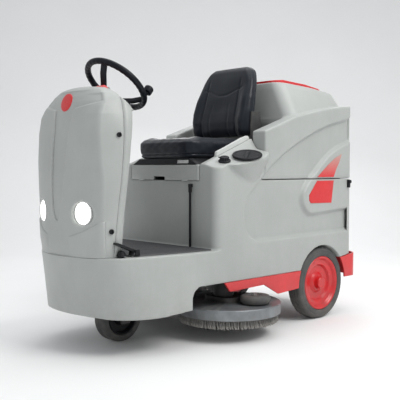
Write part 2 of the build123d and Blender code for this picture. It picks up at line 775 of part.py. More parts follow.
with BuildPart() as brake_pedal:
    with BuildSketch(side(302)):
        with BuildLine():
            Polyline((1262, 470), (1262, 478), (1368, 520), (1372, 512), (1270, 470), close=True)
        make_face()
    extrude(amount=36)
    with BuildSketch(side(302)):
        with Locations((1266, 474)):
            Circle(6)
    extrude(amount=36)
save(brake_pedal, "brake_pedal")

with BuildPart() as accelerator_pedal:
    with BuildSketch(side(-150)):
        with BuildLine():
            Polyline((1140, 470), (1140, 478), (1268, 540), (1273, 531), (1148, 470), close=True)
        make_face()
    extrude(amount=70)
    with BuildSketch(side(-150)):
        with Locations((1144, 474)):
            Circle(6)
    extrude(amount=70)
save(accelerator_pedal, "accelerator_pedal")

with BuildPart() as pedal_mounts:
    # clevis ears either side of each pedal pivot
    for y in (310.5, 264.9):
        with BuildSketch(side(y)):
            with BuildLine():
                Polyline((1252, DECK_Z + 6.6), (1280, DECK_Z + 6.6), (1276, 484), (1256, 484), close=True)
            make_face()
        extrude(amount=6 if y > 300 else 4)
    for y in (-142, -222):
        with BuildSketch(side(y)):
            with BuildLine():
                Polyline((1130, DECK_Z + 6.6), (1158, DECK_Z + 6.6), (1154, 484), (1134, 484), close=True)
            make_face()
        extrude(amount=6)
    # rubber stops that the treads come down on
    with BuildSketch(top(DECK_Z + 0.3)):
        with Locations((1340, 281)):
            Circle(15)
    extrude(amount=18)
    with BuildSketch(top(DECK_Z + 6.6)):
        with Locations((1245, -185)):
            Circle(16)
    extrude(amount=16)
save(pedal_mounts, "pedal_mounts")

with BuildPart() as level_hose:
    with BuildSketch(top(DECK_Z + 7)):
        with Locations((FRONT_WALL + 11, 212)):
            Circle(6)
            Circle(4, mode=Mode.SUBTRACT)
    extrude(amount=270)
    with BuildSketch(top(DECK_Z + 277)):
        with Locations((FRONT_WALL + 11, 212)):
            Circle(9)
    extrude(amount=26)
    with BuildSketch(top(DECK_Z + 303)):
        with Locations((FRONT_WALL + 8, 212)):
            Rectangle(15, 18)
    extrude(amount=16)
save(level_hose, "level_hose")

# ---------------------------------------------------------------------------
# Seat
# ---------------------------------------------------------------------------
with BuildPart() as seat_lid:
    with BuildSketch(top(SEAM_Z + 1)):
        with Locations((576, 0)):
            RectangleRounded(548, 530, 10)
    extrude(amount=78)
    fillet(seat_lid.faces().sort_by(Axis.Z)[-1].edges(), 6)
    with BuildSketch(top(SEAM_Z - 1)):
        with Locations((576, 0)):
            RectangleRounded(528, 510, 6)
    extrude(amount=70, mode=Mode.SUBTRACT)
    # finger slot in the front edge
    with BuildSketch(front(830)):
        with Locations((-30, SEAM_Z + 8)):
            RectangleRounded(88, 22, 6)
    extrude(amount=40, mode=Mode.SUBTRACT)
    # hinge knuckles along the front lower edge
    for y in (190, -150):
        with BuildSketch(side(y)):
            with Locations((852, SEAM_Z)):
                Circle(4.5)
        extrude(amount=40)
save(seat_lid, "seat_lid")

with BuildPart() as seat_rails:
    for s in (1, -1):
        with BuildSketch(top(SEAM_Z + 79)):
            with Locations((600, s * 140)):
                Rectangle(420, 30)
        extrude(amount=20)
save(seat_rails, "seat_rails")

with BuildPart() as seat_pan:
    with BuildSketch(top(SEAM_Z + 80.5)):
        with Locations((607, 0)):
            RectangleRounded(484, 512, 16)
    with BuildSketch(top(896)):
        with Locations((624, 0)):
            RectangleRounded(444, 412, 16)
    loft(ruled=True)
    with BuildSketch(top(SEAM_Z + 80)):
        with Locations((590, 0)):
            Rectangle(446, 380)
    extrude(amount=24, mode=Mode.SUBTRACT)
    # notches in the rear wall, so that the pan runs forward over the rails
    with BuildSketch(top(SEAM_Z + 80)):
        with Locations((420, 140), (420, -140)):
            Rectangle(160, 36)
    extrude(amount=21, mode=Mode.SUBTRACT)
    # ears for the backrest pivot
    for y in (200, -190):
        with BuildSketch(side(y)):
            with BuildLine():
                Polyline((362, 880), (420, 880), (404, 904), (396, 972), (362, 972), close=True)
            make_face()
        extrude(amount=10)
    with BuildSketch(side(240)):
        with Locations((378, 955)):
            Circle(6 + RUN)
    extrude(amount=480, mode=Mode.SUBTRACT)
save(seat_pan, "seat_pan")

with BuildPart() as seat_cushion:
    with BuildSketch(top(896.4)):
        with Locations((640, 0)):
            RectangleRounded(444, 2 * SEAT_HALF, 26)
    extrude(amount=106)
    fillet(seat_cushion.faces().sort_by(Axis.Z)[-1].edges(), 18)
save(seat_cushion, "seat_cushion")

with BuildPart() as backrest_cushion:
    with BuildSketch(side(215)):
        with BuildLine():
            Polyline((450, 1024), (456, 1100), (428, 1230), (374, 1388), (352, 1406), (302, 1406), (284, 1384),
                     (342, 1240), (366, 1100), (368, 1024), close=True)
        make_face()
    extrude(amount=430)
    b = [(203, 1024), (211, 1060), (211, 1160), (196, 1290), (170, 1362), (128, 1398), (70, 1408)]
    with BuildSketch(front(200)):
        with BuildLine():
            Polyline(*b, *[(-y, z) for y, z in reversed(b)], close=True)
        make_face()
    extrude(amount=300, mode=Mode.INTERSECT)
save(backrest_cushion, "backrest_cushion")

with BuildPart() as backrest_bracket:
    for y in (222, -214.4):
        with BuildSketch(side(y)):
            with BuildLine():
                Polyline((396, 938), (412, 985), (420, 1062), (412, 1152), (348, 1152), (334, 1080), (342, 985), (356, 938), close=True)
            make_face()
        extrude(amount=7.6)
    with BuildSketch(side(220)):
        with Locations((352, 1094)):
            Circle(8)
    extrude(amount=440)
    for y in (216, -190):
        with BuildSketch(side(y)):
            with Locations((378, 955)):
                Circle(6)
        extrude(amount=26)
save(backrest_bracket, "backrest_bracket")

# ---------------------------------------------------------------------------
# Recovery tank with its lid
# ---------------------------------------------------------------------------
TANK_LOW = SEAM_Z + 4
with BuildPart() as recovery_tank:
    with BuildSketch(side(HALF_W - 1)):
        with BuildLine():
            Polyline((493, TANK_LOW), (493, 1040), (226, 1130), (30, 1172), (-180, 1203), (-290, 1212), (REAR, 1190),
                     (REAR, TANK_LOW), close=True)
        make_face()
    extrude(amount=2 * HALF_W - 2)
    # room for the seat between the wings
    with BuildSketch(top(700)):
        with Locations((400, 0)):
            Rectangle(300, 2 * 297)
    extrude(amount=600, mode=Mode.SUBTRACT)
    # upper tank, drawn in towards the lid
    with BuildSketch(top(1095)):
        with Locations(((REAR + 252) / 2, 0)):
            RectangleRounded(252 - REAR, 2 * 380, 70)
    with BuildSketch(top(1292)):
        with Locations((-26, 0)):
            RectangleRounded(500, 2 * 268, 70)
    loft(ruled=True)
    with BuildSketch(top(1292)):
        with Locations((-26, 0)):
            RectangleRounded(500, 2 * 268, 70)
    with BuildSketch(top(1330)):
        with Locations((-24, 0)):
            RectangleRounded(478, 2 * 240, 60)
    loft(ruled=True)
    with BuildSketch(top(600)):
        with BuildLine():
            Polyline((REAR, 290), (REAR, -290))
            RadiusArc((REAR, -290), (REAR + 100, -HALF_W), -100)
            Polyline((REAR + 100, -HALF_W), (540, -HALF_W), (540, HALF_W), (REAR + 100, HALF_W))
            RadiusArc((REAR + 100, HALF_W), (REAR, 290), -100)
        make_face()
    extrude(amount=900, mode=Mode.INTERSECT)
    # the top falls towards the rear
    with BuildSketch(side(300)):
        with BuildLine():
            Polyline((260, 1329), (-60, 1312), (-250, 1288), (-340, 1262), (-340, 1400), (260, 1400), close=True)
        make_face()
    extrude(amount=600, mode=Mode.SUBTRACT)
    # hollow
    with BuildSketch(top(TANK_LOW + WALL)):
        with Locations(((REAR + 252) / 2, 0)):
            RectangleRounded(252 - REAR - 2 * WALL, 2 * (HALF_W - 1 - WALL), 88)
    extrude(amount=1088 - TANK_LOW - WALL, mode=Mode.SUBTRACT)
    with BuildSketch(top(1087)):
        with Locations(((REAR + 252) / 2, 0)):
            RectangleRounded(252 - REAR - 2 * WALL, 2 * 366, 60)
    with BuildSketch(top(1278)):
        with Locations((-28, 0)):
            RectangleRounded(462, 2 * 250, 56)
    loft(ruled=True, mode=Mode.SUBTRACT)
    for s in (1, -1):
        with BuildSketch(top(TANK_LOW + WALL)):
            with Locations((356, s * 343)):
                Rectangle(250, 68)
        extrude(amount=1012 - TANK_LOW - WALL, mode=Mode.SUBTRACT)
    # mouth under the lid
    with BuildSketch(top(1260)):
        with Locations((-20, 0)):
            RectangleRounded(340, 340, 40)
    extrude(amount=120, mode=Mode.SUBTRACT)
    # cradle for the lid's hinge barrel
    with BuildSketch(side(72)):
        with Locations((-238, 1291)):
            Circle(6.2)
    extrude(amount=144, mode=Mode.SUBTRACT)
save(recovery_tank, "recovery_tank")

with BuildPart() as tank_lid:
    with BuildSketch(side(214)):
        with BuildLine():
            Polyline((206, 1327.5), (206, 1338), (150, 1343), (-60, 1333), (-180, 1318), (-238, 1304), (-238, 1291),
                     (-60, 1313), close=True)
        make_face()
    extrude(amount=428)
    with BuildSketch(top(1200)):
        with Locations((-16, 0)):
            RectangleRounded(444, 428, 60)
    extrude(amount=300, mode=Mode.INTERSECT)
    # seal plug that drops into the mouth
    with BuildSketch(top(1290)):
        with Locations((-20, 0)):
            RectangleRounded(320, 320, 34)
            RectangleRounded(296, 296, 26, mode=Mode.SUBTRACT)
    extrude(amount=32)
    with BuildSketch(side(66)):
        with Locations((-238, 1291)):
            Circle(5)
    extrude(amount=132)
save(tank_lid, "tank_lid")

with BuildPart() as vacuum_motor:
    with BuildSketch(top(TANK_LOW + WALL)):
        with Locations((60, 210)):
            Circle(75)
    extrude(amount=60)
    with BuildSketch(top(TANK_LOW + WALL + 60)):
        with Locations((60, 210)):
            Circle(58)
    extrude(amount=95)
save(vacuum_motor, "vacuum_motor")

with BuildPart() as side_panels_upper:
    for s in (1, -1):
        with BuildSketch(side(HALF_W + 2 if s == 1 else -HALF_W + 1)):
            with BuildLine():
                Polyline((54, 798), (-38, 862), (-110, 905), (-176, 930), (-150, 880), (-120, 840), (-99, 798), close=True)
            make_face()
        extrude(amount=3)
save(side_panels_upper, "side_panels_upper")

PIN_X, PIN_Z = REAR - 8, SEAM_Z + 2
with BuildPart() as tank_hinge_lower:
    for s in (1, -1):
        with BuildSketch(front(REAR)):
            with Locations((s * 230, SEAM_Z - 34)):
                RectangleRounded(70, 56, 6)
        extrude(amount=-4)
        for d in (-24, 24):
            with BuildSketch(side(s * 230 + d + 8)):
                with Locations((PIN_X, PIN_Z)):
                    Circle(7.5)
                with Locations((PIN_X + 2.2, PIN_Z - 14)):
                    Rectangle(3.6, 28)
            extrude(amount=16)
        with BuildSketch(side(s * 230 + 32)):
            with Locations((PIN_X, PIN_Z)):
                Circle(3.5)
        extrude(amount=64)
save(tank_hinge_lower, "tank_hinge_lower")

with BuildPart() as tank_hinge_upper:
    for s in (1, -1):
        with BuildSketch(side(s * 230 + 15)):
            with Locations((PIN_X, PIN_Z)):
                Circle(7.5)
            with Locations((PIN_X + 3.0, PIN_Z + 14)):
                Rectangle(3.6, 28)
        extrude(amount=30)
        with BuildSketch(front(REAR)):
            with Locations((s * 230, PIN_Z + 38)):
                RectangleRounded(70, 52, 6)
        extrude(amount=-4)
        with BuildSketch(side(s * 230 + 20)):
            with Locations((PIN_X, PIN_Z)):
                Circle(3.5 + RUN)
        extrude(amount=40, mode=Mode.SUBTRACT)
save(tank_hinge_upper, "tank_hinge_upper")

with BuildPart() as tank_latches:
    for s in (1, -1):
        with BuildSketch(side(HALF_W + 12 if s == 1 else -HALF_W)):
            with Locations((-240, SEAM_Z - 28)):
                RectangleRounded(18, 46, 5)
        extrude(amount=12)
        with BuildSketch(side(HALF_W + 20 if s == 1 else -HALF_W - 12)):
            with Locations((-240, SEAM_Z - 16)):
                Circle(10)
        extrude(amount=8)
save(tank_latches, "tank_latches")

# ---------------------------------------------------------------------------
# Console fittings
# ---------------------------------------------------------------------------
with BuildPart() as filler_cap:
    with BuildSketch(at(*CAP, CAP_N).offset(4.5)):
        Circle(76)
    extrude(amount=14)
    with BuildSketch(at(*CAP, CAP_N).offset(18.5)):
        Circle(64)
    extrude(amount=-5, mode=Mode.SUBTRACT)
    with BuildSketch(at(*CAP, CAP_N).offset(13.5)):
        Rectangle(116, 22)
    extrude(amount=9)
save(filler_cap, "filler_cap")

with BuildPart() as control_knob:
    with BuildSketch(at(*KNOB, KNOB_N).offset(3.5)):
        Circle(31)
    extrude(amount=12)
    with BuildSketch(at(*KNOB, KNOB_N).offset(15.5)):
        Circle(24)
        with Locations((0, 18)):
            Rectangle(12, 30)
    extrude(amount=14)
save(control_knob, "control_knob")

with BuildPart() as console_rail:
    for y in (289, -272):
        with BuildSketch(side(y)):
            with BuildLine():
                Polyline((748, 906.5), (742, 930), (690, 950), (560, 1004), (520, 1016), (508, 1010), (508, 999), close=True)
            make_face()
        extrude(amount=17)
save(console_rail, "console_rail")

# ---------------------------------------------------------------------------
# Squeegee hitch and lift arm
# ---------------------------------------------------------------------------
with BuildPart() as squeegee_arm:
    with BuildSketch(side(25)):
        with Locations((-168, 222)):
            Circle(16)
    extrude(amount=50)
    with BuildSketch(top(190)):
        with Locations((-232, 0)):
            Rectangle(110, 44)
    extrude(amount=9)
    with BuildSketch(side(22)):
        with BuildLine():
            Polyline((-184, 222), (-190, 190), (-176, 190), (-158, 210), close=True)
        make_face()
    extrude(amount=44)
    with BuildSketch(top(190)):
        with Locations((-296, 0)):
            Rectangle(44, 220)
    extrude(amount=9)
    with BuildSketch(top(180)):
        with Locations((-296, 80), (-296, -80)):
            Circle(6)
    extrude(amount=30, mode=Mode.SUBTRACT)
    with BuildSketch(side(30)):
        with Locations((-168, 222)):
            Circle(8 + RUN)
    extrude(amount=60, mode=Mode.SUBTRACT)
save(squeegee_arm, "squeegee_arm")
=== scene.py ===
import bpy
import json
import math
import numpy as np
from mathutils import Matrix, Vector


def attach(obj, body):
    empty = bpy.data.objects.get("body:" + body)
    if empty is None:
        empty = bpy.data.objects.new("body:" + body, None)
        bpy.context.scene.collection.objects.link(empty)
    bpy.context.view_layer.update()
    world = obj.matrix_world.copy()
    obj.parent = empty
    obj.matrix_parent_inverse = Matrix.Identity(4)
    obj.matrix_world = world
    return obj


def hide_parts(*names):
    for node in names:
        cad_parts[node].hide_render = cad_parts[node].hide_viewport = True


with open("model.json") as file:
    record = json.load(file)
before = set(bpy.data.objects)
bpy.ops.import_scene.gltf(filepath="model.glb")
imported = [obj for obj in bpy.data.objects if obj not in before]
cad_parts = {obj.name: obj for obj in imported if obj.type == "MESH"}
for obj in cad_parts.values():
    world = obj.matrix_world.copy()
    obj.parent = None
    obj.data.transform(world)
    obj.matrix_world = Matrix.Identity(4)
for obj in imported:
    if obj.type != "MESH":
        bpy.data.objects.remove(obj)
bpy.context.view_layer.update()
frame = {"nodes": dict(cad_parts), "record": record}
NODES = frame["nodes"]
XO = 0.57435                      # rear axle to origin, metres
scene = bpy.context.scene
scene.view_settings.view_transform = "Standard"
rng = np.random.default_rng(7)


# ---------------------------------------------------------------------------
# Camera, floor, light
# ---------------------------------------------------------------------------
cam_data = bpy.data.cameras.new("camera")
cam = bpy.data.objects.new("camera", cam_data)
scene.collection.objects.link(cam)
cam.location = (3.21893 - XO, 2.74755, 0.84497)
cam.rotation_euler = Vector((-0.69146, -0.72103, -0.0447)).to_track_quat("-Z", "Y").to_euler()
cam_data.lens = 63.0
cam_data.sensor_width = 36.0
cam_data.clip_end = 60.0
scene.camera = cam


def light(name, loc, target, size, power, color=(1, 1, 1)):
    data = bpy.data.lights.new(name, "AREA")
    data.shape = "RECTANGLE"
    data.size, data.size_y = size
    data.energy = power
    data.color = color
    ob = bpy.data.objects.new(name, data)
    scene.collection.objects.link(ob)
    ob.location = loc
    ob.rotation_euler = (Vector(target) - Vector(loc)).to_track_quat("-Z", "Y").to_euler()
    return ob


light("key_softbox", (-0.6, 3.4, 3.9), (0.0, 0.2, 0.6), (2.4, 1.8), 120, (1.0, 0.99, 0.97))
light("front_fill", (4.6, -0.8, 2.0), (0.3, 0.0, 0.7), (2.6, 2.2), 16, (0.97, 0.985, 1.0))
light("top_softbox", (-0.4, 0.0, 4.4), (0.0, 0.0, 0.5), (4.0, 3.2), 70)
light("rear_rim", (-3.2, -2.4, 2.8), (0.0, 0.0, 0.8), (2.4, 2.0), 30)

world = bpy.data.worlds.new("studio")
scene.world = world
world.use_nodes = True
world.node_tree.nodes["Background"].inputs[0].default_value = (0.93, 0.95, 0.97, 1)
world.node_tree.nodes["Background"].inputs[1].default_value = 0.66


# ---------------------------------------------------------------------------
# Materials
# ---------------------------------------------------------------------------
def rgb(c):
    return (*c, 1.0)


def material(name, base, other=None, rough=0.5, rough_var=0.08, grain=900.0, bump=0.04, bump_dist=0.0004,
             patch=5.0, patch_amt=0.5, metallic=0.0, coat=0.0, sheen=0.0, edge=None, edge_amt=0.0, dirt=None,
             dirt_top=0.25, dirt_amt=0.0, spec=0.5, wave=None, voronoi=None, emission=None, streak=0.0):
    """Principled material with colour patches, grain bump, edge wear and road dirt near the floor."""
    m = bpy.data.materials.new(name)
    m.use_nodes = True
    nt = m.node_tree
    b = nt.nodes["Principled BSDF"]
    b.inputs["Metallic"].default_value = metallic
    b.inputs["Specular IOR Level"].default_value = spec
    b.inputs["Coat Weight"].default_value = coat
    b.inputs["Coat Roughness"].default_value = 0.22
    b.inputs["Sheen Weight"].default_value = sheen
    new, link = nt.nodes.new, nt.links.new
    co = new("ShaderNodeTexCoord").outputs["Object"]
    n1 = new("ShaderNodeTexNoise")
    n1.inputs["Scale"].default_value = patch
    n1.inputs["Detail"].default_value = 6
    n1.inputs["Roughness"].default_value = 0.6
    link(co, n1.inputs["Vector"])
    ramp = new("ShaderNodeMapRange")
    ramp.inputs["From Min"].default_value = 0.35
    ramp.inputs["From Max"].default_value = 0.65
    ramp.inputs["To Max"].default_value = patch_amt
    link(n1.outputs["Fac"], ramp.inputs["Value"])
    mix = new("ShaderNodeMix")
    mix.data_type = "RGBA"
    mix.inputs[6].default_value = rgb(base)
    mix.inputs[7].default_value = rgb(other or tuple(x * 0.86 for x in base))
    link(ramp.outputs["Result"], mix.inputs[0])
    colour = mix.outputs[2]
    if streak:
        mp = new("ShaderNodeMapping")
        mp.inputs["Scale"].default_value = (34, 34, 2.2)
        link(co, mp.inputs["Vector"])
        ns = new("ShaderNodeTexNoise")
        ns.inputs["Scale"].default_value = 1.0
        ns.inputs["Detail"].default_value = 5
        link(mp.outputs["Vector"], ns.inputs["Vector"])
        mr = new("ShaderNodeMapRange")
        mr.inputs["From Min"].default_value = 0.48
        mr.inputs["From Max"].default_value = 0.75
        mr.inputs["To Max"].default_value = streak
        link(ns.outputs["Fac"], mr.inputs["Value"])
        mx = new("ShaderNodeMix")
        mx.data_type = "RGBA"
        mx.inputs[7].default_value = rgb(tuple(x * 0.72 for x in base))
        link(mr.outputs["Result"], mx.inputs[0])
        link(colour, mx.inputs[6])
        colour = mx.outputs[2]
    if edge_amt:
        geo = new("ShaderNodeNewGeometry")
        er = new("ShaderNodeMapRange")
        er.inputs["From Min"].default_value = 0.515
        er.inputs["From Max"].default_value = 0.60
        er.inputs["To Max"].default_value = edge_amt
        link(geo.outputs["Pointiness"], er.inputs["Value"])
        nn = new("ShaderNodeTexNoise")
        nn.inputs["Scale"].default_value = 60
        nn.inputs["Detail"].default_value = 4
        link(co, nn.inputs["Vector"])
        mul = new("ShaderNodeMath")
        mul.operation = "MULTIPLY"
        link(er.outputs["Result"], mul.inputs[0])
        link(nn.outputs["Fac"], mul.inputs[1])
        me = new("ShaderNodeMix")
        me.data_type = "RGBA"
        me.inputs[7].default_value = rgb(edge or (0.8, 0.8, 0.8))
        link(mul.outputs[0], me.inputs[0])
        link(colour, me.inputs[6])
        colour = me.outputs[2]
    if dirt_amt:
        sep = new("ShaderNodeSeparateXYZ")
        link(co, sep.inputs[0])
        dr = new("ShaderNodeMapRange")
        dr.inputs["From Min"].default_value = dirt_top
        dr.inputs["From Max"].default_value = 0.0
        dr.inputs["To Max"].default_value = 1.0
        link(sep.outputs["Z"], dr.inputs["Value"])
        nd = new("ShaderNodeTexNoise")
        nd.inputs["Scale"].default_value = 14
        nd.inputs["Detail"].default_value = 8
        nd.inputs["Roughness"].default_value = 0.7
        link(co, nd.inputs["Vector"])
        r2 = new("ShaderNodeMapRange")
        r2.inputs["From Min"].default_value = 0.38
        r2.inputs["From Max"].default_value = 0.72
        r2.inputs["To Max"].default_value = dirt_amt
        link(nd.outputs["Fac"], r2.inputs["Value"])
        mu = new("ShaderNodeMath")
        mu.operation = "MULTIPLY"
        link(dr.outputs["Result"], mu.inputs[0])
        link(r2.outputs["Result"], mu.inputs[1])
        md = new("ShaderNodeMix")
        md.data_type = "RGBA"
        md.inputs[7].default_value = rgb(dirt or (0.16, 0.13, 0.10))
        link(mu.outputs[0], md.inputs[0])
        link(colour, md.inputs[6])
        colour = md.outputs[2]
    link(colour, b.inputs["Base Color"])
    # roughness
    n2 = new("ShaderNodeTexNoise")
    n2.inputs["Scale"].default_value = 22
    n2.inputs["Detail"].default_value = 5
    link(co, n2.inputs["Vector"])
    rr = new("ShaderNodeMapRange")
    rr.inputs["To Min"].default_value = max(0.02, rough - rough_var)
    rr.inputs["To Max"].default_value = min(1.0, rough + rough_var)
    link(n2.outputs["Fac"], rr.inputs["Value"])
    link(rr.outputs["Result"], b.inputs["Roughness"])
    # grain
    if voronoi:
        n3 = new("ShaderNodeTexVoronoi")
        n3.feature = "DISTANCE_TO_EDGE"
        n3.inputs["Scale"].default_value = voronoi
        link(co, n3.inputs["Vector"])
        height = n3.outputs["Distance"]
    elif wave:
        n3 = new("ShaderNodeTexWave")
        n3.wave_type = "BANDS"
        n3.bands_direction = wave[1]
        n3.inputs["Scale"].default_value = wave[0]
        n3.inputs["Distortion"].default_value = wave[2]
        link(co, n3.inputs["Vector"])
        height = n3.outputs["Fac"]
    else:
        n3 = new("ShaderNodeTexNoise")
        n3.inputs["Scale"].default_value = grain
        n3.inputs["Detail"].default_value = 3
        link(co, n3.inputs["Vector"])
        height = n3.outputs["Fac"]
    bp = new("ShaderNodeBump")
    bp.inputs["Strength"].default_value = min(1.0, bump * 6)
    bp.inputs["Distance"].default_value = bump_dist
    link(height, bp.inputs["Height"])
    link(bp.outputs["Normal"], b.inputs["Normal"])
    if emission:
        b.inputs["Emission Color"].default_value = rgb(emission[0])
        b.inputs["Emission Strength"].default_value = emission[1]
    return m


GREY_A, GREY_B = (0.395, 0.412, 0.398), (0.345, 0.36, 0.348)
M = {
    "body": material("body_polyethylene", GREY_A, GREY_B, rough=0.46, rough_var=0.07, grain=420, bump=0.05,
                     bump_dist=0.0006, patch=3.2, patch_amt=0.8, edge=(0.62, 0.64, 0.62), edge_amt=0.5,
                     dirt=(0.20, 0.18, 0.15), dirt_top=0.34, dirt_amt=0.5, coat=0.05, streak=0.10),
    "red": material("red_plastic", (0.62, 0.012, 0.016), (0.50, 0.008, 0.012), rough=0.33, rough_var=0.08, grain=500,
                    bump=0.02, bump_dist=0.0003, patch=8, patch_amt=0.6, edge=(0.85, 0.12, 0.12), edge_amt=0.5,
                    dirt=(0.12, 0.06, 0.05), dirt_top=0.36, dirt_amt=0.55, coat=0.25),
    "black": material("black_plastic", (0.008, 0.009, 0.011), (0.014, 0.014, 0.016), spec=0.2, rough=0.42, rough_var=0.1,
                      grain=900, bump=0.07, bump_dist=0.0004, patch=18, patch_amt=0.8, edge=(0.06, 0.06, 0.06),
                      edge_amt=0.5),
    "grip": material("soft_grip", (0.005, 0.0065, 0.010), (0.009, 0.010, 0.014), spec=0.17, rough=0.38, rough_var=0.1, grain=1400,
                     bump=0.08, bump_dist=0.0003, patch=24, patch_amt=0.7, edge=(0.08, 0.08, 0.09), edge_amt=0.3),
    "vinyl": material("seat_vinyl", (0.005, 0.0075, 0.0125), (0.008, 0.011, 0.017), spec=0.17, rough=0.34, rough_var=0.09,
                      voronoi=520, bump=0.10, bump_dist=0.00045, patch=9, patch_amt=0.9, edge=(0.07, 0.08, 0.10),
                      edge_amt=0.35, coat=0.1, sheen=0.1),
    "tyre": material("tyre_rubber", (0.050, 0.052, 0.053), (0.085, 0.083, 0.08), rough=0.74, rough_var=0.12,
                     grain=320, bump=0.12, bump_dist=0.0007, patch=16, patch_amt=0.8, dirt=(0.17, 0.155, 0.135),
                     dirt_top=0.42, dirt_amt=0.65, edge=(0.14, 0.14, 0.135), edge_amt=0.5),
    "mat": material("mat_rubber", (0.040, 0.042, 0.046), (0.062, 0.062, 0.064), rough=0.66, rough_var=0.12, grain=500,
                    bump=0.12, bump_dist=0.0005, patch=11, patch_amt=0.9, edge=(0.13, 0.13, 0.13), edge_amt=0.6),
    "steel": material("black_steel", (0.028, 0.029, 0.031), (0.05, 0.048, 0.046), rough=0.5, rough_var=0.14, grain=260,
                      bump=0.08, bump_dist=0.0004, patch=20, patch_amt=0.8, edge=(0.25, 0.24, 0.23), edge_amt=0.5,
                      dirt=(0.12, 0.10, 0.08), dirt_top=0.4, dirt_amt=0.6),
    "deck": material("deck_metal", (0.25, 0.27, 0.285), (0.17, 0.18, 0.19), rough=0.40, rough_var=0.16, grain=180,
                     bump=0.08, bump_dist=0.0006, patch=15, patch_amt=0.9, metallic=0.55, edge=(0.55, 0.55, 0.54),
                     edge_amt=0.8, dirt=(0.07, 0.06, 0.05), dirt_top=0.22, dirt_amt=0.75, streak=0.45),
    "zinc": material("zinc_steel", (0.55, 0.55, 0.53), (0.40, 0.40, 0.39), rough=0.34, rough_var=0.12, grain=300,
                     bump=0.05, bump_dist=0.0003, patch=30, patch_amt=0.8, metallic=1.0),
    "chrome": material("lamp_surround", (0.62, 0.63, 0.62), (0.5, 0.5, 0.5), rough=0.25, rough_var=0.08, grain=300,
                       bump=0.02, bump_dist=0.0002, patch=30, patch_amt=0.5, metallic=0.6),
    "battery": material("battery_case", (0.05, 0.05, 0.055), (0.08, 0.08, 0.085), rough=0.55, grain=500, patch=10),
    "rail": material("off_white_trim", (0.62, 0.64, 0.62), (0.54, 0.56, 0.54), rough=0.36, rough_var=0.08, grain=500,
                     bump=0.03, patch=14, patch_amt=0.6, edge=(0.75, 0.75, 0.74), edge_amt=0.4),
    "bristle": material("bristle_nylon", (0.13, 0.13, 0.125), (0.26, 0.25, 0.235), rough=0.7, rough_var=0.1,
                        grain=900, bump=0.06, patch=160, patch_amt=1.0),
    "bristle_tip": material("bristle_tips", (0.34, 0.325, 0.30), (0.20, 0.19, 0.18), rough=0.75, rough_var=0.1,
                            grain=900, bump=0.06, patch=160, patch_amt=1.0),
    "lamp": material("headlight_glow", (0.95, 0.95, 0.92), (0.88, 0.90, 0.90), rough=0.12, rough_var=0.04, grain=120,
                     bump=0.02, patch=40, patch_amt=0.5, emission=((1.0, 0.99, 0.94), 1.9), coat=0.4),
    "label": material("light_label", (0.50, 0.51, 0.50), (0.40, 0.41, 0.40), rough=0.5, grain=500, patch=90,
                      patch_amt=0.9),
    "dark": material("seam_shadow", (0.012, 0.012, 0.013), (0.02, 0.02, 0.02), rough=0.8, grain=300, patch=20),
}


def red_with_painted_highlight():
    """Red panel with a painted highlight: lighter and paler towards its upper tip."""
    m = M["red"].copy()
    m.name = "red_plastic_painted_highlight"
    nt = m.node_tree
    b = nt.nodes["Principled BSDF"]
    src = b.inputs["Base Color"].links[0].from_socket
    tc = nt.nodes.new("ShaderNodeTexCoord")
    sep = nt.nodes.new("ShaderNodeSeparateXYZ")
    nt.links.new(tc.outputs["Object"], sep.inputs[0])
    # painted highlight: with height (0.80 to 0.935 m) the red mixes up to 85 % towards a pale warm grey
    mr = nt.nodes.new("ShaderNodeMapRange")
    mr.inputs["From Min"].default_value = 0.80
    mr.inputs["From Max"].default_value = 0.935
    mr.inputs["To Max"].default_value = 0.85
    nt.links.new(sep.outputs["Z"], mr.inputs["Value"])
    mx = nt.nodes.new("ShaderNodeMix")
    mx.data_type = "RGBA"
    mx.inputs[7].default_value = (0.44, 0.36, 0.32, 1)
    nt.links.new(mr.outputs["Result"], mx.inputs[0])
    nt.links.new(src, mx.inputs[6])
    nt.links.new(mx.outputs[2], b.inputs["Base Color"])
    return m


# red plastic with a painted highlight on its upper tip, for the upper side panels
M["red_painted_highlight"] = red_with_painted_highlight()
floor_mat_stage = material("studio_floor", (0.86, 0.86, 0.86), (0.82, 0.82, 0.82), rough=0.7, rough_var=0.05, grain=60,
                           bump=0.01, patch=0.8, patch_amt=0.5)

fm = bpy.data.meshes.new("floor")
n = 60
vs, fs = [], []
for i in range(n + 1):
    for j in range(n + 1):
        x, y = -10 + 20 * i / n, -10 + 20 * j / n
        r = math.hypot(x - 0.4, y + 0.2)
        far = max(0.0, -(x * 0.69 + y * 0.72) - 3.2)
        vs.append((x, y, min(far * far * 0.5, 6.0)))
for i in range(n):
    for j in range(n):
        a = i * (n + 1) + j
        fs.append((a, a + n + 1, a + n + 2, a + 1))
fm.from_pydata(vs, [], fs)
floor = bpy.data.objects.new("floor", fm)
scene.collection.objects.link(floor)
floor.data.materials.append(floor_mat_stage)
fm.polygons.foreach_set("use_smooth", [True] * len(fm.polygons))


# ---------------------------------------------------------------------------
# Mesh helpers.  Shapes are written in millimetres from the rear axle.
# ---------------------------------------------------------------------------
def mm(p):
    p = np.asarray(p, float).reshape(-1, 3) / 1000.0
    p[:, 0] -= XO
    return p


def make(name, verts, faces, mat, smooth=True, shop=True):
    me = bpy.data.meshes.new(name)
    v = mm(verts) if shop else np.asarray(verts, float)
    me.from_pydata([tuple(x) for x in v], [], [tuple(int(i) for i in f) for f in faces])
    me.validate()
    ob = bpy.data.objects.new(name, me)
    scene.collection.objects.link(ob)
    me.materials.append(mat)
    if smooth:
        me.polygons.foreach_set("use_smooth", [True] * len(me.polygons))
    return ob


def grid_faces(nv, nu, wrap_u=False, wrap_v=False, flip=False):
    faces = []
    for j in range(nv if wrap_v else nv - 1):
        for i in range(nu if wrap_u else nu - 1):
            a = j * nu + i
            b = j * nu + (i + 1) % nu
            c = ((j + 1) % nv) * nu + (i + 1) % nu
            d = ((j + 1) % nv) * nu + i
            faces.append((a, d, c, b) if flip else (a, b, c, d))
    return faces


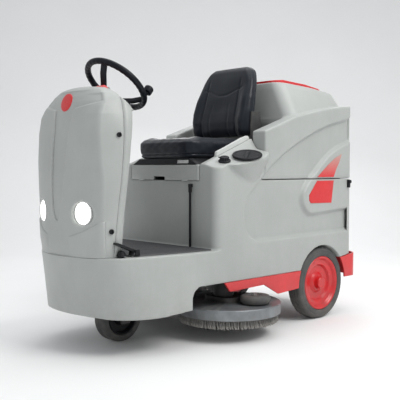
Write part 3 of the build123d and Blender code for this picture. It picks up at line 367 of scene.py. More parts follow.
def evaluated(ob):
    """The object's mesh with its modifiers, as a new mesh in its place."""
    dg = bpy.context.evaluated_depsgraph_get()
    dg.update()
    me = bpy.data.meshes.new_from_object(ob.evaluated_get(dg), preserve_all_data_layers=False, depsgraph=dg)
    ob.modifiers.clear()
    old = ob.data
    ob.data = me
    return ob


def coords(ob):
    co = np.empty(len(ob.data.vertices) * 3)
    ob.data.vertices.foreach_get("co", co)
    return co.reshape(-1, 3)


def set_coords(ob, co):
    ob.data.vertices.foreach_set("co", np.asarray(co, float).ravel())
    ob.data.update()


def smooth_all(ob):
    ob.data.polygons.foreach_set("use_smooth", [True] * len(ob.data.polygons))
    ob.data.update()


def skin_from(node, name, voxel, before, mat, relief=None, after=2):
    """A rounded, closed skin grown from the shape of a CAD node: remeshed, smoothed, then given its moulded relief."""
    src = NODES[node]
    me = src.data.copy()
    ob = bpy.data.objects.new(name, me)
    scene.collection.objects.link(ob)
    w = ob.modifiers.new("weld", "WELD")
    w.merge_threshold = 0.00002
    r = ob.modifiers.new("remesh", "REMESH")
    r.mode = "VOXEL"
    r.voxel_size = voxel
    s = ob.modifiers.new("smooth", "SMOOTH")
    s.factor = 0.5
    s.iterations = before
    evaluated(ob)
    if relief is not None:
        co = coords(ob) * 1000.0
        co[:, 0] += XO * 1000.0
        co = relief(co)
        co[:, 0] -= XO * 1000.0
        set_coords(ob, co / 1000.0)
        if after:
            s = ob.modifiers.new("smooth", "SMOOTH")
            s.factor = 0.5
            s.iterations = after
            evaluated(ob)
    ob.data.materials.clear()
    ob.data.materials.append(mat)

    smooth_all(ob)
    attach(ob, BODY_OF[node])
    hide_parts(node)
    return ob


BODY_OF = {n: b for b, ns in frame["record"]["behaviour"]["bodies"].items() for n in ns}


def sstep(t):
    t = np.clip(t, 0, 1)
    return t * t * (3 - 2 * t)


def signed(px, pz, poly):
    """Signed distance to a polygon, positive inside."""
    poly = np.asarray(poly, float)
    d = np.full(px.shape, 1e9)
    inside = np.zeros(px.shape, bool)
    for i in range(len(poly)):
        a, b = poly[i], poly[(i + 1) % len(poly)]
        e = b - a
        wx, wz = px - a[0], pz - a[1]
        t = np.clip((wx * e[0] + wz * e[1]) / max(e @ e, 1e-9), 0, 1)
        d = np.minimum(d, np.hypot(wx - e[0] * t, wz - e[1] * t))
        cond = (a[1] > pz) != (b[1] > pz)
        with np.errstate(divide="ignore", invalid="ignore"):
            xi = a[0] + (pz - a[1]) * e[0] / (e[1] if abs(e[1]) > 1e-9 else 1e-9)
        inside ^= cond & (px < xi)
    return np.where(inside, d, -d)


def catmull(points, per=8):
    p = np.asarray(points, float)
    out = []
    q = np.vstack([2 * p[0] - p[1], p, 2 * p[-1] - p[-2]])
    for i in range(1, len(q) - 2):
        for k in range(per):
            t = k / per
            out.append(0.5 * ((2 * q[i]) + (-q[i - 1] + q[i + 1]) * t + (2 * q[i - 1] - 5 * q[i] + 4 * q[i + 1] - q[i + 2]) * t * t
                              + (-q[i - 1] + 3 * q[i] - 3 * q[i + 1] + q[i + 2]) * t ** 3))
    out.append(q[-2])
    return np.array(out)


# recessed field bounded by the low band and the long sweep up to the rear
SWEEP = list(map(tuple, catmull([(560, 470), (612, 500), (646, 560), (656, 640), (626, 706), (560, 765), (460, 852),
                                 (333, 934), (150, 1022), (-64, 1098), (-420, 1180)], 5)))
FIELD = [(-420, 482), (-73, 477), (400, 470)] + SWEEP
POCKET = list(map(tuple, catmull([(-420, 634), (-200, 622), (60, 606), (118, 612), (158, 648), (168, 692), (140, 742),
                                  (60, 815), (-55, 905), (-170, 962), (-420, 1035)], 4)))


def side_relief(co, floor_z=440.0):
    x, y, z = co[:, 0], co[:, 1], co[:, 2]
    s1 = sstep(signed(x, z, FIELD) / 20.0)
    s2 = sstep((signed(x, z, POCKET) + 24.0) / 24.0)
    d = 23.0 * s1 * (1 - s2)
    w = sstep((np.abs(y) - 352.0) / 12.0) * sstep((404.0 - np.abs(y)) / 8.0) * (z > floor_z)
    out = co.copy()
    out[:, 1] = y - np.sign(y) * d * w
    return out


body = skin_from("body_shell", "body_skin", 0.005, 6, M["body"], side_relief, 1)
tank = skin_from("recovery_tank", "tank_skin", 0.005, 9, M["body"], side_relief, 1)

# rear corners of the body, just under the skin, where the wall is thinnest
for sgn, nm in ((1, "left"), (-1, "right")):
    pts = [(-228.0 - 97.6 * math.cos(t), sgn * (290.0 + 97.6 * math.sin(t)), zc_)
           for zc_ in np.linspace(353, 783, 60) for t in np.radians(np.linspace(6, 84, 40))]
    corner_ob = make("rear_corner_" + nm, pts, grid_faces(60, 40, flip=sgn < 0), M["body"])
    wall_ = corner_ob.modifiers.new("wall", "SOLIDIFY")
    wall_.thickness = 0.002
    wall_.offset = 0.0
    evaluated(corner_ob)
    smooth_all(corner_ob)
    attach(corner_ob, "root")


# ---------------------------------------------------------------------------
# Steering column covers
# ---------------------------------------------------------------------------
LOW_Z = 451.5
ARCH = catmull([(262, LOW_Z), (265, 560), (269, 660), (278, 780), (281, 880), (279, 970), (270, 1050), (254, 1110),
                (237, 1150), (210, 1182), (172, 1203), (120, 1212), (60, 1215.2), (0, 1216)], 14)
CREASE_Z = [451, 600, 752, 882, 1010, 1085, 1120, 1150, 1180, 1204, 1216]
CREASE_X = [1405, 1408, 1415, 1425, 1426, 1416, 1399, 1380, 1364, 1352, 1346]
CREASE_Y = [256, 262, 265, 254, 243, 238, 233, 225, 200, 160, 90]


def seam_x(z):
    return 1362 - (z - 500) * 55 / 618.0


def slope_x(z):
    return 1240 + (z - 1104) * 106 / 118.0


def nose_x(z):
    return np.interp(z, [451, 560, 647, 760, 850, 950, 1030, 1100, 1146, 1176, 1196, 1208, 1216],
                     [1478, 1484, 1486, 1483, 1477, 1468, 1456, 1444, 1434, 1423, 1408, 1390, 1366])


def half_width(z):
    return float(np.interp(z, ARCH[:, 1], ARCH[:, 0]))


def face_x(z, y):
    """Front surface of the column at height z and distance y from the middle."""
    xc, yc = np.interp(z, CREASE_Z, CREASE_X), np.interp(z, CREASE_Z, CREASE_Y)
    xf = nose_x(z)
    return xf - (xf - xc) * (np.abs(y) / yc) ** 2.2


def section(w, z, n_side=40, n_front=136):
    """Half section of the front cover at height z, from the seam to the centre line."""
    xb = max(seam_x(z), slope_x(z) if z > 1140 else 0) + 1.2
    yc = min(float(np.interp(z, CREASE_Z, CREASE_Y)), w * 0.94)
    xc = max(float(face_x(z, yc)), xb + 3)
    side_dir = np.array([xc - xb, yc - w])
    length = np.hypot(*side_dir)
    r = min(13.0, 0.45 * length, 0.4 * yc)
    a0 = np.array([xc, yc]) - side_dir / length * r
    corner = np.array([xc, yc])
    yy = yc - r
    a2 = np.array([max(float(face_x(z, yy)), xb + 3), yy])
    pts = []
    bulge = 5.0 * min(1.0, length / 90.0)
    nrm = np.array([-side_dir[1], side_dir[0]]) / length
    if nrm[1] < 0:
        nrm = -nrm
    for k in range(26):
        t = k / 26.0
        q = np.array([xb, w]) + (a0 - np.array([xb, w])) * t
        pts.append(q + nrm * bulge * 4 * t * (1 - t) * (1 - t * 0.4))
    n_s = len(pts)
    for k in range(11):
        t = k / 10.0
        pts.append((1 - t) ** 2 * a0 + 2 * t * (1 - t) * corner + t * t * a2)
    for y in np.linspace(yy, 0, 60)[1:]:
        pts.append(np.array([max(float(face_x(z, y)), xb + 3), y]))
    p = np.array(pts)
    p[:, 1] = np.minimum(p[:, 1], w + 2.0)
    seg = np.hypot(*np.diff(p, axis=0).T)
    sl = np.concatenate([[0], np.cumsum(seg)])
    side = sl[n_s]
    u = np.concatenate([np.linspace(0, side, n_side, endpoint=False), np.linspace(side, sl[-1], n_front)])
    return np.column_stack([np.interp(u, sl, p[:, 0]), np.interp(u, sl, p[:, 1])])


rows = []
arc = np.concatenate([[0], np.cumsum(np.hypot(*np.diff(ARCH, axis=0).T))])
for q in np.linspace(0, arc[-1] - 0.5, 380):
    w, z = np.interp(q, arc, ARCH[:, 0]), np.interp(q, arc, ARCH[:, 1])
    h = section(max(w, 1.2), z)
    full = np.vstack([h, (h * [1, -1])[::-1][1:]])
    rows.append(np.column_stack([full, np.full(len(full), z)]))
F = np.array(rows)
nv, nu = F.shape[:2]


def normals(P):
    du = np.gradient(P, axis=1)
    dv = np.gradient(P, axis=0)
    nrm = np.cross(du, dv)
    ln = np.linalg.norm(nrm, axis=2, keepdims=True)
    return nrm / np.maximum(ln, 1e-9)


NR = normals(F)
if NR[nv // 2, nu // 2, 0] < 0:
    NR = -NR
X, Y, Z = F[..., 0], F[..., 1], F[..., 2]
aY = np.abs(Y)
front_side = sstep((NR[..., 0] - 0.45) / 0.3)
d = np.zeros_like(X)
# two raised cheeks either side of a tapering channel, cut off above by a brow line
g = np.interp(Z, [596, 606, 612, 620, 635, 650, 718, 865, 1012, 1118, 1185, 1216],
              [-14, 0, 13, 21, 28, 33, 45, 56, 63, 79, 95, 100])
zb = 1112 + 30 * np.clip((aY - 70) / 165.0, 0, 1.1)
cheek = sstep((aY - g) / 6.0 + 0.5) * sstep((zb - Z) / 9.0 + 0.5)
base_drop = -7.5 * (1 - cheek) * sstep((1214 - Z) / 40.0) * sstep((246 - aY) / 46.0)
d += base_drop * front_side
rim_line = np.exp(-((aY - g - 3.0) / 3.4) ** 2) * sstep((Z - 600) / 8) * sstep((zb - Z) / 14.0)
d += 1.1 * rim_line * front_side
# ledge that smiles below the headlights
zc = 540 + 77 * (np.clip(aY - 80, 0, None) / 182.0) ** 1.5
ledge = sstep((zc - Z) / 5.0 + 0.5) * sstep((aY - 82) / 18.0)
d += 6.0 * ledge * sstep((Z - 455) / 70.0) * sstep((NR[..., 0] - 0.3) / 0.2)
# headlight wells
rl = np.hypot(aY - 160, Z - 647)
well = sstep((58.0 - rl) / 4.0) * (X > 1395)
d = d * (1 - well) - 26.0 * well
d += 1.6 * np.exp(-((rl - 61.5) / 2.6) ** 2) * (X > 1395)
F2 = F + NR * d[..., None]
F2[..., 0] = np.minimum(F2[..., 0], 1492)
col_front = make("column_front_skin", F2.reshape(-1, 3), grid_faces(nv, nu), M["body"])
sol = col_front.modifiers.new("wall", "SOLIDIFY")
sol.thickness = 0.005
sol.offset = -1.0
evaluated(col_front)
smooth_all(col_front)
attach(col_front, "root")
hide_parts("column_front_cover")

# rear cover: side strips and the face towards the driver
rows = []
for v in np.linspace(0, 1, 130):
    pts = []
    for t in np.linspace(0, 1, 121):
        a = t * math.pi
        c, sn = math.cos(a), math.sin(a)
        nexp = 2.0 / 8.0
        yy = np.sign(c) * abs(c) ** nexp
        xx = abs(sn) ** nexp
        z = LOW_Z + v * 650
        for _ in range(4):
            w = half_width(z)
            xs = seam_x(z) - 1.2
            xr = float(np.interp(z, [451, 760, 950, 1104], [1313, 1290, 1270, 1241]))
            x = xs - (xs - xr) * xx
            zt = min(1104 + (x - 1240) * 118 / 106.0, 1166)
            z = LOW_Z + v * (zt - LOW_Z)
        pts.append((x, yy * w, z))
    rows.append(pts)
R = np.array(rows)
col_rear = make("column_rear_skin", R.reshape(-1, 3), grid_faces(R.shape[0], R.shape[1], flip=True), M["body"])
sol = col_rear.modifiers.new("wall", "SOLIDIFY")
sol.thickness = 0.005
sol.offset = -1.0
evaluated(col_rear)
smooth_all(col_rear)
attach(col_rear, "root")
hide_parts("column_rear_cover")

# cowl: a crowned plate on the slope, under the dash panel
rows = []
for k in range(50):
    f = k / 49.0
    x = 1243 + (1341 - 1243) * f
    z = 1104 + (x - 1240) * 118 / 106.0
    w = half_width(z) - 1.0
    line = []
    for t in np.linspace(-1, 1, 61):
        yy = w * t
        edge = (1 - abs(t) ** 8)
        line.append((x - 0.744 * 1.2 * edge, yy, z + 0.668 * 1.2 * edge - 3.0 * (1 - edge)))
    rows.append(line)
Cw = np.array(rows)
cowl = make("column_cowl", Cw.reshape(-1, 3), grid_faces(50, 61), M["body"])
sol = cowl.modifiers.new("wall", "SOLIDIFY")
sol.thickness = 0.004
sol.offset = -1.0
evaluated(cowl)
smooth_all(cowl)
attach(cowl, "root")


# ---------------------------------------------------------------------------
# Shown CAD nodes: softened edges and materials
# ---------------------------------------------------------------------------
SHOWN = {
    "chassis_frame": ("steel", 1.5), "rear_axle": ("zinc", 0.8), "battery_pack": ("battery", 1.5),
    "rear_rim_left": ("red", 1.2), "rear_rim_right": ("red", 1.2), "drive_fork": ("steel", 1.2),
    "drive_motor": ("steel", 1.2), "front_rim": ("black", 1.2), "deck_housing": ("deck", 2.0),
    "brush_motors": ("steel", 2.0), "brush_disc_left": ("black", 1.0), "brush_disc_right": ("black", 1.0),
    "roller_bolts": ("zinc", 0.8), "rear_skirt": ("red", 2.0), "side_panels_lower": ("red", 0.9),
    # the upper side panels use the red with the painted highlight on the upper tip
    "side_panels_upper": ("red_painted_highlight", 0.9), "headlight_bezels": ("chrome", 0.8), "headlight_lenses": ("lamp", 1.2),
    "column_screws": ("black", 1.0), "dash_panel": ("red", 1.5), "estop_button": ("red", 2.0),
    "ignition_key": ("zinc", 0.6), "steering_hub": ("grip", 4.0), "steering_shaft": ("zinc", 0.6),
    "steering_column_tube": ("black", 0.8), "spinner_knob": ("grip", 1.0), "brake_pedal": ("black", 1.0),
    "accelerator_pedal": ("black", 1.0), "pedal_mounts": ("black", 1.0), "level_hose": ("black", 0.6),
    "seat_lid": ("body", 4.0), "seat_rails": ("zinc", 0.8), "seat_pan": ("black", 2.5),
    "backrest_bracket": ("steel", 1.5), "tank_lid": ("red", 4.0), "vacuum_motor": ("black", 2.0),
    "tank_hinge_lower": ("steel", 0.8), "tank_hinge_upper": ("steel", 0.8), "tank_latches": ("black", 1.5),
    "console_rail": ("rail", 2.0), "squeegee_arm": ("steel", 1.0), "side_skirts": ("red", 1.5),
}


def dress(ob, mat, width):
    ob.data.materials.clear()
    ob.data.materials.append(mat)
    w = ob.modifiers.new("weld", "WELD")
    w.merge_threshold = 0.00002
    b = ob.modifiers.new("bevel", "BEVEL")
    b.width = width / 1000.0
    b.segments = 2
    b.limit_method = "ANGLE"
    b.angle_limit = math.radians(32)
    b.harden_normals = False
    b.use_clamp_overlap = True


for node, (key, width) in SHOWN.items():
    dress(NODES[node], M[key], width)




# ---------------------------------------------------------------------------
# Turned pieces: tyres, rollers, cap
# ---------------------------------------------------------------------------
def lathe(name, profile, centre, axis, mat, seg=160, closed=True, wobble=None):
    """Revolves a profile of (along the axis, radius) pairs."""
    axis = np.array(axis, float) / np.linalg.norm(axis)
    ref = np.array([0, 0, 1.0]) if abs(axis[2]) < 0.9 else np.array([1.0, 0, 0])
    e1 = np.cross(axis, ref)
    e1 /= np.linalg.norm(e1)
    e2 = np.cross(axis, e1)
    prof = np.asarray(profile, float)
    P = []
    for k in range(seg):
        a = 2 * math.pi * k / seg
        dirv = e1 * math.cos(a) + e2 * math.sin(a)
        r = prof[:, 1]
        h = prof[:, 0]
        if wobble is not None:
            r, h = wobble(a, h, r)
        P.append(np.array(centre)[None] + np.outer(h, axis) + np.outer(r, dirv))
    P = np.array(P)
    return make(name, P.reshape(-1, 3), grid_faces(seg, len(prof), wrap_u=closed, wrap_v=True, flip=True), mat)


def round_profile(points, per=4):
    """Closed profile with softened corners (Chaikin)."""
    p = np.asarray(points, float)
    for _ in range(2):
        q = []
        for i in range(len(p)):
            a, b = p[i], p[(i + 1) % len(p)]
            q += [a * 0.78 + b * 0.22, a * 0.22 + b * 0.78]
        p = np.array(q)
    return p


for s, tag in ((1, "left"), (-1, "right")):
    y0, y1 = 292.0, 387.0
    prof = [(y0 + 7, 150), (y0 + 1, 158), (y0, 168), (y0 + 1, 182), (y0 + 6, 193), (y0 + 16, 199)]
    for g0 in (y0 + 27, y0 + 45, y0 + 63):
        prof += [(g0 - 5, 200), (g0 - 3, 200), (g0 - 2, 197.0), (g0 + 2, 197.0), (g0 + 3, 200), (g0 + 5, 200)]
    prof += [(y1 - 16, 199), (y1 - 7, 194), (y1 - 2.5, 186), (y1 - 2.0, 182), (y1 - 3.6, 180), (y1 - 0.6, 177), (y1, 170),
             (y1 - 0.5, 162), (y1 - 2.6, 160), (y1 - 1.6, 157), (y1 - 5, 151), (y1 - 30, 150)]
    prof = [(s * a, b) for a, b in prof]
    ob = lathe("rear_tyre_skin_" + tag, round_profile(prof), (0, 0, 200), (0, 1, 0), M["tyre"], 200)
    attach(ob, "rear_wheel_" + tag)
    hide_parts("rear_tyre_" + tag)

prof = [(-42, 82), (-43, 100), (-41, 110), (-33, 117), (-20, 118), (-6, 118), (-4, 115), (4, 115), (6, 118), (20, 118),
        (33, 117), (41, 110), (43, 100), (42, 82)]
ob = lathe("front_tyre_skin", round_profile(prof), (1143, 0, 118), (0, 1, 0), M["tyre"], 150)
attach(ob, "drive_wheel")
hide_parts("front_tyre")

for s, tag in ((1, "left"), (-1, "right")):
    prof = [(-22, 9.2), (-22, 62), (-19, 70), (-12, 75), (-4, 77.8), (4, 77.8), (12, 75), (19, 70), (22, 62), (22, 36),
            (17, 31), (16, 26), (16, 9.2)]
    ob = lathe("bumper_roller_skin_" + tag, round_profile(prof), (606, s * 424, 193), (0, 0, 1), M["tyre"], 120)
    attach(ob, "roller_" + tag)
    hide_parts("bumper_roller_" + tag)

# steering wheel rim with finger grips on its underside
TILT = math.radians(40)
WC = np.array([1149.0, 0.0, 1252.0])
WN = np.array([-math.sin(TILT), 0, math.cos(TILT)])
WX = np.array([0, 1.0, 0])
WY = np.cross(WN, WX)
rows = []
for k in range(240):
    a = 2 * math.pi * k / 240
    dirv = WX * math.cos(a) + WY * math.sin(a)
    line = []
    for j in range(28):
        b = 2 * math.pi * j / 28
        bump = 0.55 * math.cos(36 * a) * sstep(np.array((-math.sin(b) - 0.1) / 0.7)) if True else 0
        r = 15.6 + float(bump)
        line.append(WC + dirv * (157 + r * 0.96 * math.cos(b)) + WN * (r * math.sin(b)))
    rows.append(line)
rim = make("steering_rim_skin", np.array(rows).reshape(-1, 3), grid_faces(240, 28, True, True), M["grip"])
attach(rim, "steering")
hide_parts("steering_rim")

# filler cap: ribbed edge, dished top with a raised bar
CN = np.array([0.2453, 0.2218, 0.9437])
CN /= np.linalg.norm(CN)
CC = np.array([630.0, 388.0, 902.5])


def cap_wobble(a, h, r):
    out = r.copy()
    rim_pts = (r > 70)
    out[rim_pts] += 0.9 * math.cos(48 * a)
    return out, h


prof = [(4.6, 2), (4.6, 66), (5.2, 73), (8, 74.5), (14, 74.5), (17.5, 72), (18.2, 67), (16.5, 63), (13.6, 60), (13.2, 40),
        (13.4, 20), (13.4, 2)]
cap = lathe("filler_cap_skin", round_profile(prof), CC, CN, M["black"], 192, wobble=cap_wobble)
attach(cap, "filler")
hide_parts("filler_cap")
ref = np.array([1.0, 0, 0])
CU = ref - CN * (ref @ CN)
CU /= np.linalg.norm(CU)
CV = np.cross(CN, CU)
rot = math.radians(35)
BU, BV = CU * math.cos(rot) + CV * math.sin(rot), -CU * math.sin(rot) + CV * math.cos(rot)
rows = []
for k in range(61):
    t = -1 + 2 * k / 60
    w = 11 * (1 - 0.35 * abs(t) ** 3) * math.sqrt(max(1 - abs(t) ** 6, 0.02))
    h = 8.4 * math.sqrt(max(1 - t ** 8, 0.0)) * (0.8 + 0.2 * math.cos(t * math.pi)) + 0.2
    line = []
    for j in range(15):
        b = math.pi * j / 14
        line.append(CC + CN * (12.6 + h * math.sin(b) ** 0.7) + BU * (58 * t) + BV * (w * math.cos(b)))
    rows.append(line)
bar = make("filler_cap_bar", np.array(rows).reshape(-1, 3), grid_faces(61, 15), M["black"])
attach(bar, "filler")

# control knob: skirt, waist and a pointer lever
KN = np.array([0.2453, 0.2218, 0.9437])
KN /= np.linalg.norm(KN)
KC = np.array([758.0, 355.0, 877.0])


def knob_wobble(a, h, r):
    out = r.copy()
    out[(r > 19) & (h > 12)] += 1.1 * math.cos(14 * a)
    return out, h


prof = [(3.6, 1), (3.6, 29), (5, 31), (9, 31), (12, 28), (13, 23.5), (20, 22), (26, 22), (28.5, 19), (29, 10), (29, 1)]
kb = lathe("control_knob_skin", round_profile(prof), KC, KN, M["black"], 112, wobble=knob_wobble)
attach(kb, "knob")
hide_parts("control_knob")
rows = []
ku = np.array([0.6, -0.6, 0.0])
ku = ku - KN * (ku @ KN)
ku /= np.linalg.norm(ku)
kv = np.cross(KN, ku)
for k in range(24):
    t = k / 23
    c = KC + KN * (21 + 6 * t) + ku * (8 + 23 * t)
    line = []
    for j in range(14):
        b = 2 * math.pi * j / 14
        e = math.sqrt(max(1 - (2 * t - 1) ** 6, 0.03))
        line.append(c + kv * (6.0 * e * math.cos(b)) + KN * (3.6 * e * math.sin(b)))
    rows.append(line)
lev = make("control_knob_lever", np.array(rows).reshape(-1, 3), grid_faces(24, 14, wrap_u=True), M["black"])
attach(lev, "knob")


# ---------------------------------------------------------------------------
# Brush bristles: rows of leaning tufts
# ---------------------------------------------------------------------------
def tufts(tag, s):
    verts, faces, tips = [], [], []
    cx, cy = 640.0, s * 272.0
    rows_ = [(247, 132), (239, 126), (229, 120), (205, 96), (178, 84), (150, 70), (124, 60)]
    for ri, (r, cnt) in enumerate(rows_):
        for k in range(cnt):
            a0 = 2 * math.pi * (k + 0.5 * (ri % 2)) / cnt + rng.normal(0, 0.004)
            lean = 0.03 + rng.normal(0, 0.018)
            flare = (5.0 if ri < 3 else 1.0) + rng.normal(0, 1.2)
            sides = 7
            base = len(verts)
            levels = [(136, 4.0, 0.0), (112, 4.3, 0.25), (90, 4.9, 0.62), (73 + abs(rng.normal(0, 1.2)), 5.6, 1.0)]
            for (z, w, f) in levels:
                rr = r + flare * f ** 1.6
                rr = min(rr, 251.5)
                aa = a0 + lean * f * 1.0
                for q in range(sides):
                    b = 2 * math.pi * q / sides
                    jag = rng.normal(0, 0.5) if f > 0.5 else 0
                    verts.append((cx + rr * math.cos(aa) + (w * 0.62 + jag) * math.cos(b),
                                  cy + rr * math.sin(aa) + (w * 0.62 + jag) * math.sin(b),
                                  z + (rng.normal(0, 1.4) if f == 1.0 else 0)))
            for lv in range(3):
                for q in range(sides):
                    a_, b_ = base + lv * sides + q, base + lv * sides + (q + 1) % sides
                    faces.append((b_, a_, a_ + sides, b_ + sides))
                    tips.append(1 if lv == 2 else 0)
            faces.append(tuple(base + 3 * sides + q for q in range(sides))[::-1])
            tips.append(1)
            faces.append(tuple(base + q for q in range(sides)))
            tips.append(0)
    v = np.array(verts)
    v[:, 2] = np.maximum(v[:, 2], 70.5)
    ob = make("bristle_tufts_" + tag, v, faces, M["bristle"], smooth=True)
    ob.data.materials.append(M["bristle_tip"])
    for p, t in zip(ob.data.polygons, tips):
        p.material_index = t
    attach(ob, "brush_" + tag)
    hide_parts("bristles_" + tag)


tufts("left", 1)
tufts("right", -1)


# ---------------------------------------------------------------------------
# Floor mat: ribbed rubber inside a plain border
# ---------------------------------------------------------------------------
def mat_half(x):
    return float(np.interp(x, [852, 1000, 1170, 1294], [361, 351, 329, 299]))


nx, ny = 300, 260
xs = np.linspace(853, 1293, nx)
P = np.zeros((nx, ny, 3))
for i, x in enumerate(xs):
    w = mat_half(x)
    P[i, :, 0] = x
    P[i, :, 1] = np.linspace(-w, w, ny)
inx = np.minimum(P[..., 0] - 853, 1293 - P[..., 0])
iny = np.array([[mat_half(x)] * ny for x in xs]) - np.abs(P[..., 1])
ins = np.minimum(inx, iny)
rib = 0.5 + 0.5 * np.sign(np.sin(2 * math.pi * P[..., 0] / 14.7)) * np.abs(np.sin(2 * math.pi * P[..., 0] / 14.7)) ** 0.4
brk = (np.abs(((P[..., 1] + 400) % 74.0) - 37.0) > 2.4).astype(float)
P[..., 2] = 451.5 + 3.6 + 2.2 * rib * sstep((ins - 14) / 3.0) * brk + 2.2 * sstep((14 - ins) / 3.0) * sstep(ins / 3.0)
P[..., 2] -= 3.4 * (ins < 0.8)
mat_ob = make("floor_mat_skin", P.reshape(-1, 3), grid_faces(nx, ny, flip=True), M["mat"])
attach(mat_ob, "root")
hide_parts("floor_mat")


# ---------------------------------------------------------------------------
# Seat
# ---------------------------------------------------------------------------
def rounded_box(nseg, half, r):
    """Closed grid of a rounded box round the origin, by face grids that share their edges."""
    verts, index, faces = [], {}, []

    def vid(p):
        key = tuple(np.round(p, 5))
        if key not in index:
            index[key] = len(verts)
            verts.append(p)
        return index[key]

    for ax in range(3):
        for sg in (-1, 1):
            u, v = (ax + 1) % 3, (ax + 2) % 3
            nu_, nv_ = nseg[u], nseg[v]
            ids = np.zeros((nu_ + 1, nv_ + 1), int)
            for i in range(nu_ + 1):
                for j in range(nv_ + 1):
                    p = np.zeros(3)
                    p[ax] = sg
                    p[u] = -1 + 2 * i / nu_
                    p[v] = -1 + 2 * j / nv_
                    ids[i, j] = vid(p)
            for i in range(nu_):
                for j in range(nv_):
                    f = (ids[i, j], ids[i + 1, j], ids[i + 1, j + 1], ids[i, j + 1])
                    faces.append(f if sg > 0 else f[::-1])
    q = np.array(verts)
    half = np.array(half, float)
    # crowd the samples towards the edges so that the rounding is smooth
    w = np.sign(q) * (1 - (1 - np.abs(q)) ** 1.25)
    p = w * half
    inner = np.clip(p, -(half - r), half - r)
    dlt = p - inner
    ln = np.linalg.norm(dlt, axis=1, keepdims=True)
    surf = np.where(ln > 1e-9, inner + dlt / np.maximum(ln, 1e-9) * r, p)
    return surf, faces, q


def vnoise(x, y, z, seed):
    """Smooth low-frequency noise from a few fixed waves."""
    rg = np.random.default_rng(seed)
    out = np.zeros_like(x)
    for _ in range(9):
        k = rg.normal(0, 1, 3)
        ph = rg.uniform(0, 6.28)
        out += np.sin(k[0] * x + k[1] * y + k[2] * z + ph)
    return out / 9 * 2


def groove(dist, width, depth):
    return -depth * np.exp(-(dist / width) ** 2)


# cushion: x forward, y left, z up, about its own middle
surf, faces, q = rounded_box((74, 70, 30), (222, 211, 53), 30)
x, y, z = surf.T.copy()
u, v = x / 222, y / 211
nexp = np.where(u > 0, 7.0, 9.0)
au, av = np.maximum(np.abs(u), 1e-3), np.maximum(np.abs(v), 1e-3)
kk = (au ** 17 + av ** 17) ** (1 / 17) / (au ** nexp + av ** nexp) ** (1 / nexp)
x, y = x * kk, y * kk
top = sstep((q[:, 2] - 0.15) / 0.85)
crown = 4.0 * (1 - u ** 2) * (1 - v ** 4)
bol = 10.0 * np.exp(-((np.abs(y) - 168) / 36) ** 2) * sstep((0.9 - u) / 0.4)
dip = -13.0 * np.exp(-(y / 112) ** 2) * np.exp(-((x + 25) / 150) ** 2)
frontroll = 8.0 * np.exp(-((x - 150) / 44) ** 2)
z = z + top * (crown + bol + dip + frontroll - 9.0)
line_y = np.abs(np.abs(y) - (128 + 12 * u))
line_x = np.abs(x - (98 - 28 * (y / 211) ** 2))
z += top * groove(line_y, 4.0, 7.5) * sstep((100 - x) / 16)
z += top * groove(line_x, 4.0, 6.5) * sstep((136 - np.abs(y)) / 10)
z += top * 2.0 * vnoise(x / 26, y / 34, z / 30, 3)
z += top * 1.6 * vnoise(x / 11, y / 18, z / 30, 8) * np.exp(-(line_y / 26) ** 2)
# wall: a full upper band, a sewn line, then a lower lip that tucks under
ring = np.maximum(np.abs(u), np.abs(v))
bulge = 4.0 * np.cos(np.clip((z - 10) / 40, -1, 1) * math.pi / 2) - 3.0
lipb = 3.0 * np.exp(-((z + 42) / 10) ** 2)
seam = groove(z + 31, 2.8, 6.5)
tuck = -8.0 * sstep((-46 - z) / 8)
pull = (bulge + lipb + seam + tuck) * sstep((ring - 0.84) / 0.12)
nx_, ny_ = u / np.maximum(np.hypot(u ** 3, v ** 3), 0.3) * u ** 2, v / np.maximum(np.hypot(u ** 3, v ** 3), 0.3) * v ** 2
wr = 1.5 * vnoise(x / 16, y / 16, z / 9, 11) * sstep((ring - 0.9) / 0.1)
x = x + nx_ * (pull + wr)
y = y + ny_ * (pull + wr)
y *= 1 - 0.05 * sstep((-u - 0.3) / 0.7)
C = np.column_stack([x + 640, y, z + 949.4])
C[:, 2] = np.clip(C[:, 2], 896.6, 1010)
C[:, 0] = np.clip(C[:, 0], 414.5, 864)
C[:, 1] = np.clip(C[:, 1], -213.5, 213.5)
cush = make("seat_cushion_skin", C, faces, M["vinyl"])
sub = cush.modifiers.new("subdivision", "SUBSURF")
sub.levels = sub.render_levels = 1
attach(cush, "seat")
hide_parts("seat_cushion")

# backrest: across, up, thickness (positive towards the driver)
surf, faces, q = rounded_box((66, 72, 24), (205, 194, 43), 33)
a, b, t = surf.T.copy()
hb = (b + 194) / 388.0           # 0 at the foot, 1 at the top
halfw = np.interp(hb, [0, 0.08, 0.37, 0.55, 0.70, 0.80, 0.88, 0.95, 1.0],
                  [0.97, 1.02, 1.035, 1.01, 0.955, 0.90, 0.83, 0.74, 0.64])
a = a * halfw
wa = a / 205
fr = sstep((q[:, 2] - 0.0) / 0.9)
bolster = 16.0 * np.exp(-((np.abs(a) - 172 * halfw) / 30) ** 2) * sstep((0.80 - hb) / 0.34)
centre = -5.0 * np.exp(-(a / 105) ** 2) * sstep((0.62 - hb) / 0.25)
head = 5.0 * np.exp(-((hb - 0.80) / 0.13) ** 2) * (1 - wa ** 2)
lumbar = 9.0 * np.exp(-((hb - 0.20) / 0.15) ** 2) * np.exp(-(a / 120) ** 2)
t = t + fr * (bolster + centre + head + lumbar - 9)
sv = np.abs(np.abs(a) - (134 - 26 * hb + 10 * hb ** 2))
t += fr * groove(sv, 3.6, 8.5) * sstep((0.86 - hb) / 0.1)
hl = np.abs(b - (58 - 20 * np.cos(np.clip(a / 160, -1, 1) * math.pi)))
t += fr * groove(hl, 3.6, 7.0) * sstep((150 - np.abs(a)) / 12)
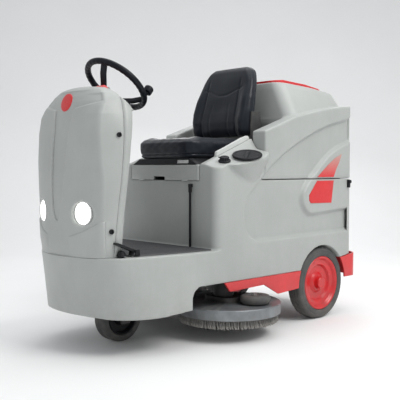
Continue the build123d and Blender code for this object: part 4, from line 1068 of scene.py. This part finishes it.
# leg seams inside the panel that fan out downwards
leg = np.abs(np.abs(a) - (62 + 22 * (0.55 - hb)))
t += fr * groove(leg, 3.2, 4.0) * sstep((0.50 - hb) / 0.06)
t += fr * 1.8 * vnoise(a / 30, b / 42, t / 30, 5)
t += fr * 2.2 * vnoise(a / 12, b / 22, t / 30, 9) * sstep((0.5 - hb) / 0.3) * sstep((np.abs(wa) - 0.45) / 0.3)
pull = 3.0 * np.cos(np.clip(t / 40, -1, 1) * math.pi / 2) + groove(t + 14, 2.4, 4.0) - 2.0
wside = sstep((np.abs(q[:, 0]) - 0.86) / 0.12)
a += np.sign(a) * pull * wside
zz = 1212 + b + 6.0 * (1 - (a / 190) ** 2) * sstep((hb - 0.75) / 0.25)
F_X = np.interp(zz, [1016, 1060, 1100, 1150, 1230, 1300, 1350, 1388, 1410], [448, 456, 458, 451, 429, 406, 389, 374, 364])
B_X = np.interp(zz, [1016, 1100, 1150, 1240, 1320, 1384, 1410], [368, 367, 358, 342, 313, 286, 282])
Bk = np.column_stack([(F_X + B_X) / 2 + t * (F_X - B_X) / 86.0, a, zz])
Bk[:, 2] = np.clip(Bk[:, 2], 1016, 1406.2)
B = Bk
back = make("backrest_skin", B, faces, M["vinyl"])
sub = back.modifiers.new("subdivision", "SUBSURF")
sub.levels = sub.render_levels = 1
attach(back, "backrest")
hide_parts("backrest_cushion")


# ---------------------------------------------------------------------------
# Small trim: badge, brake boot, slits, labels
# ---------------------------------------------------------------------------
def disc(name, centre, normal, profile, mat, body, seg=72):
    ob_ = lathe(name, round_profile(profile), centre, normal, mat, seg)
    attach(ob_, body)
    return ob_


bz = disc("badge_dome", (1424.5, 0, 1146), (0.964, 0, 0.265),
          [(0, 0.5), (0, 40), (2, 43), (6, 43), (8.4, 40), (9.4, 30), (10.0, 14), (10.2, 0.5)], M["red"], "root")
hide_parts("badge_disc")

boot = disc("brake_boot", (1336, 281, 457), (0, 0, 1),
            [(0, 0.5), (0, 22), (3, 23), (6, 20), (9, 21.5), (12, 18), (15, 19), (18, 15), (22, 14), (24, 10), (24, 0.5)],
            M["black"], "root", 64)

for s in (1, -1):
    pts, fcs = [], []
    for k in range(30):
        f = k / 29
        yy = 212 + 46 * f
        zz_ = 669 - 3 * f
        hh = 2.2 * math.sqrt(max(1 - (2 * f - 1) ** 4, 0.02))
        xx = float(face_x(zz_, yy)) + 0.9
        pts += [(xx, s * yy, zz_ - hh), (xx + 0.4, s * yy, zz_), (xx, s * yy, zz_ + hh)]
    for k in range(29):
        for j in range(2):
            i0 = 3 * k + j
            fcs.append((i0, i0 + 3, i0 + 4, i0 + 1) if s > 0 else (i0, i0 + 1, i0 + 4, i0 + 3))
    ob = make("cover_slit_" + ("left" if s > 0 else "right"), pts, fcs, M["dark"])
    so = ob.modifiers.new("wall", "SOLIDIFY")
    so.thickness = 0.0012
    evaluated(ob)
    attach(ob, "root")

# label plate on the seat pan's front edge
pts, fcs = [], []
for i in range(9):
    for j in range(33):
        pts.append((849.4 - 2.2 * i / 8, 112 + 80 * j / 32, 872 + 16 * i / 8))
ob = make("pan_label", pts, grid_faces(9, 33, flip=True), M["label"])
so = ob.modifiers.new("wall", "SOLIDIFY")
so.thickness = 0.0014
evaluated(ob)
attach(ob, "seat")
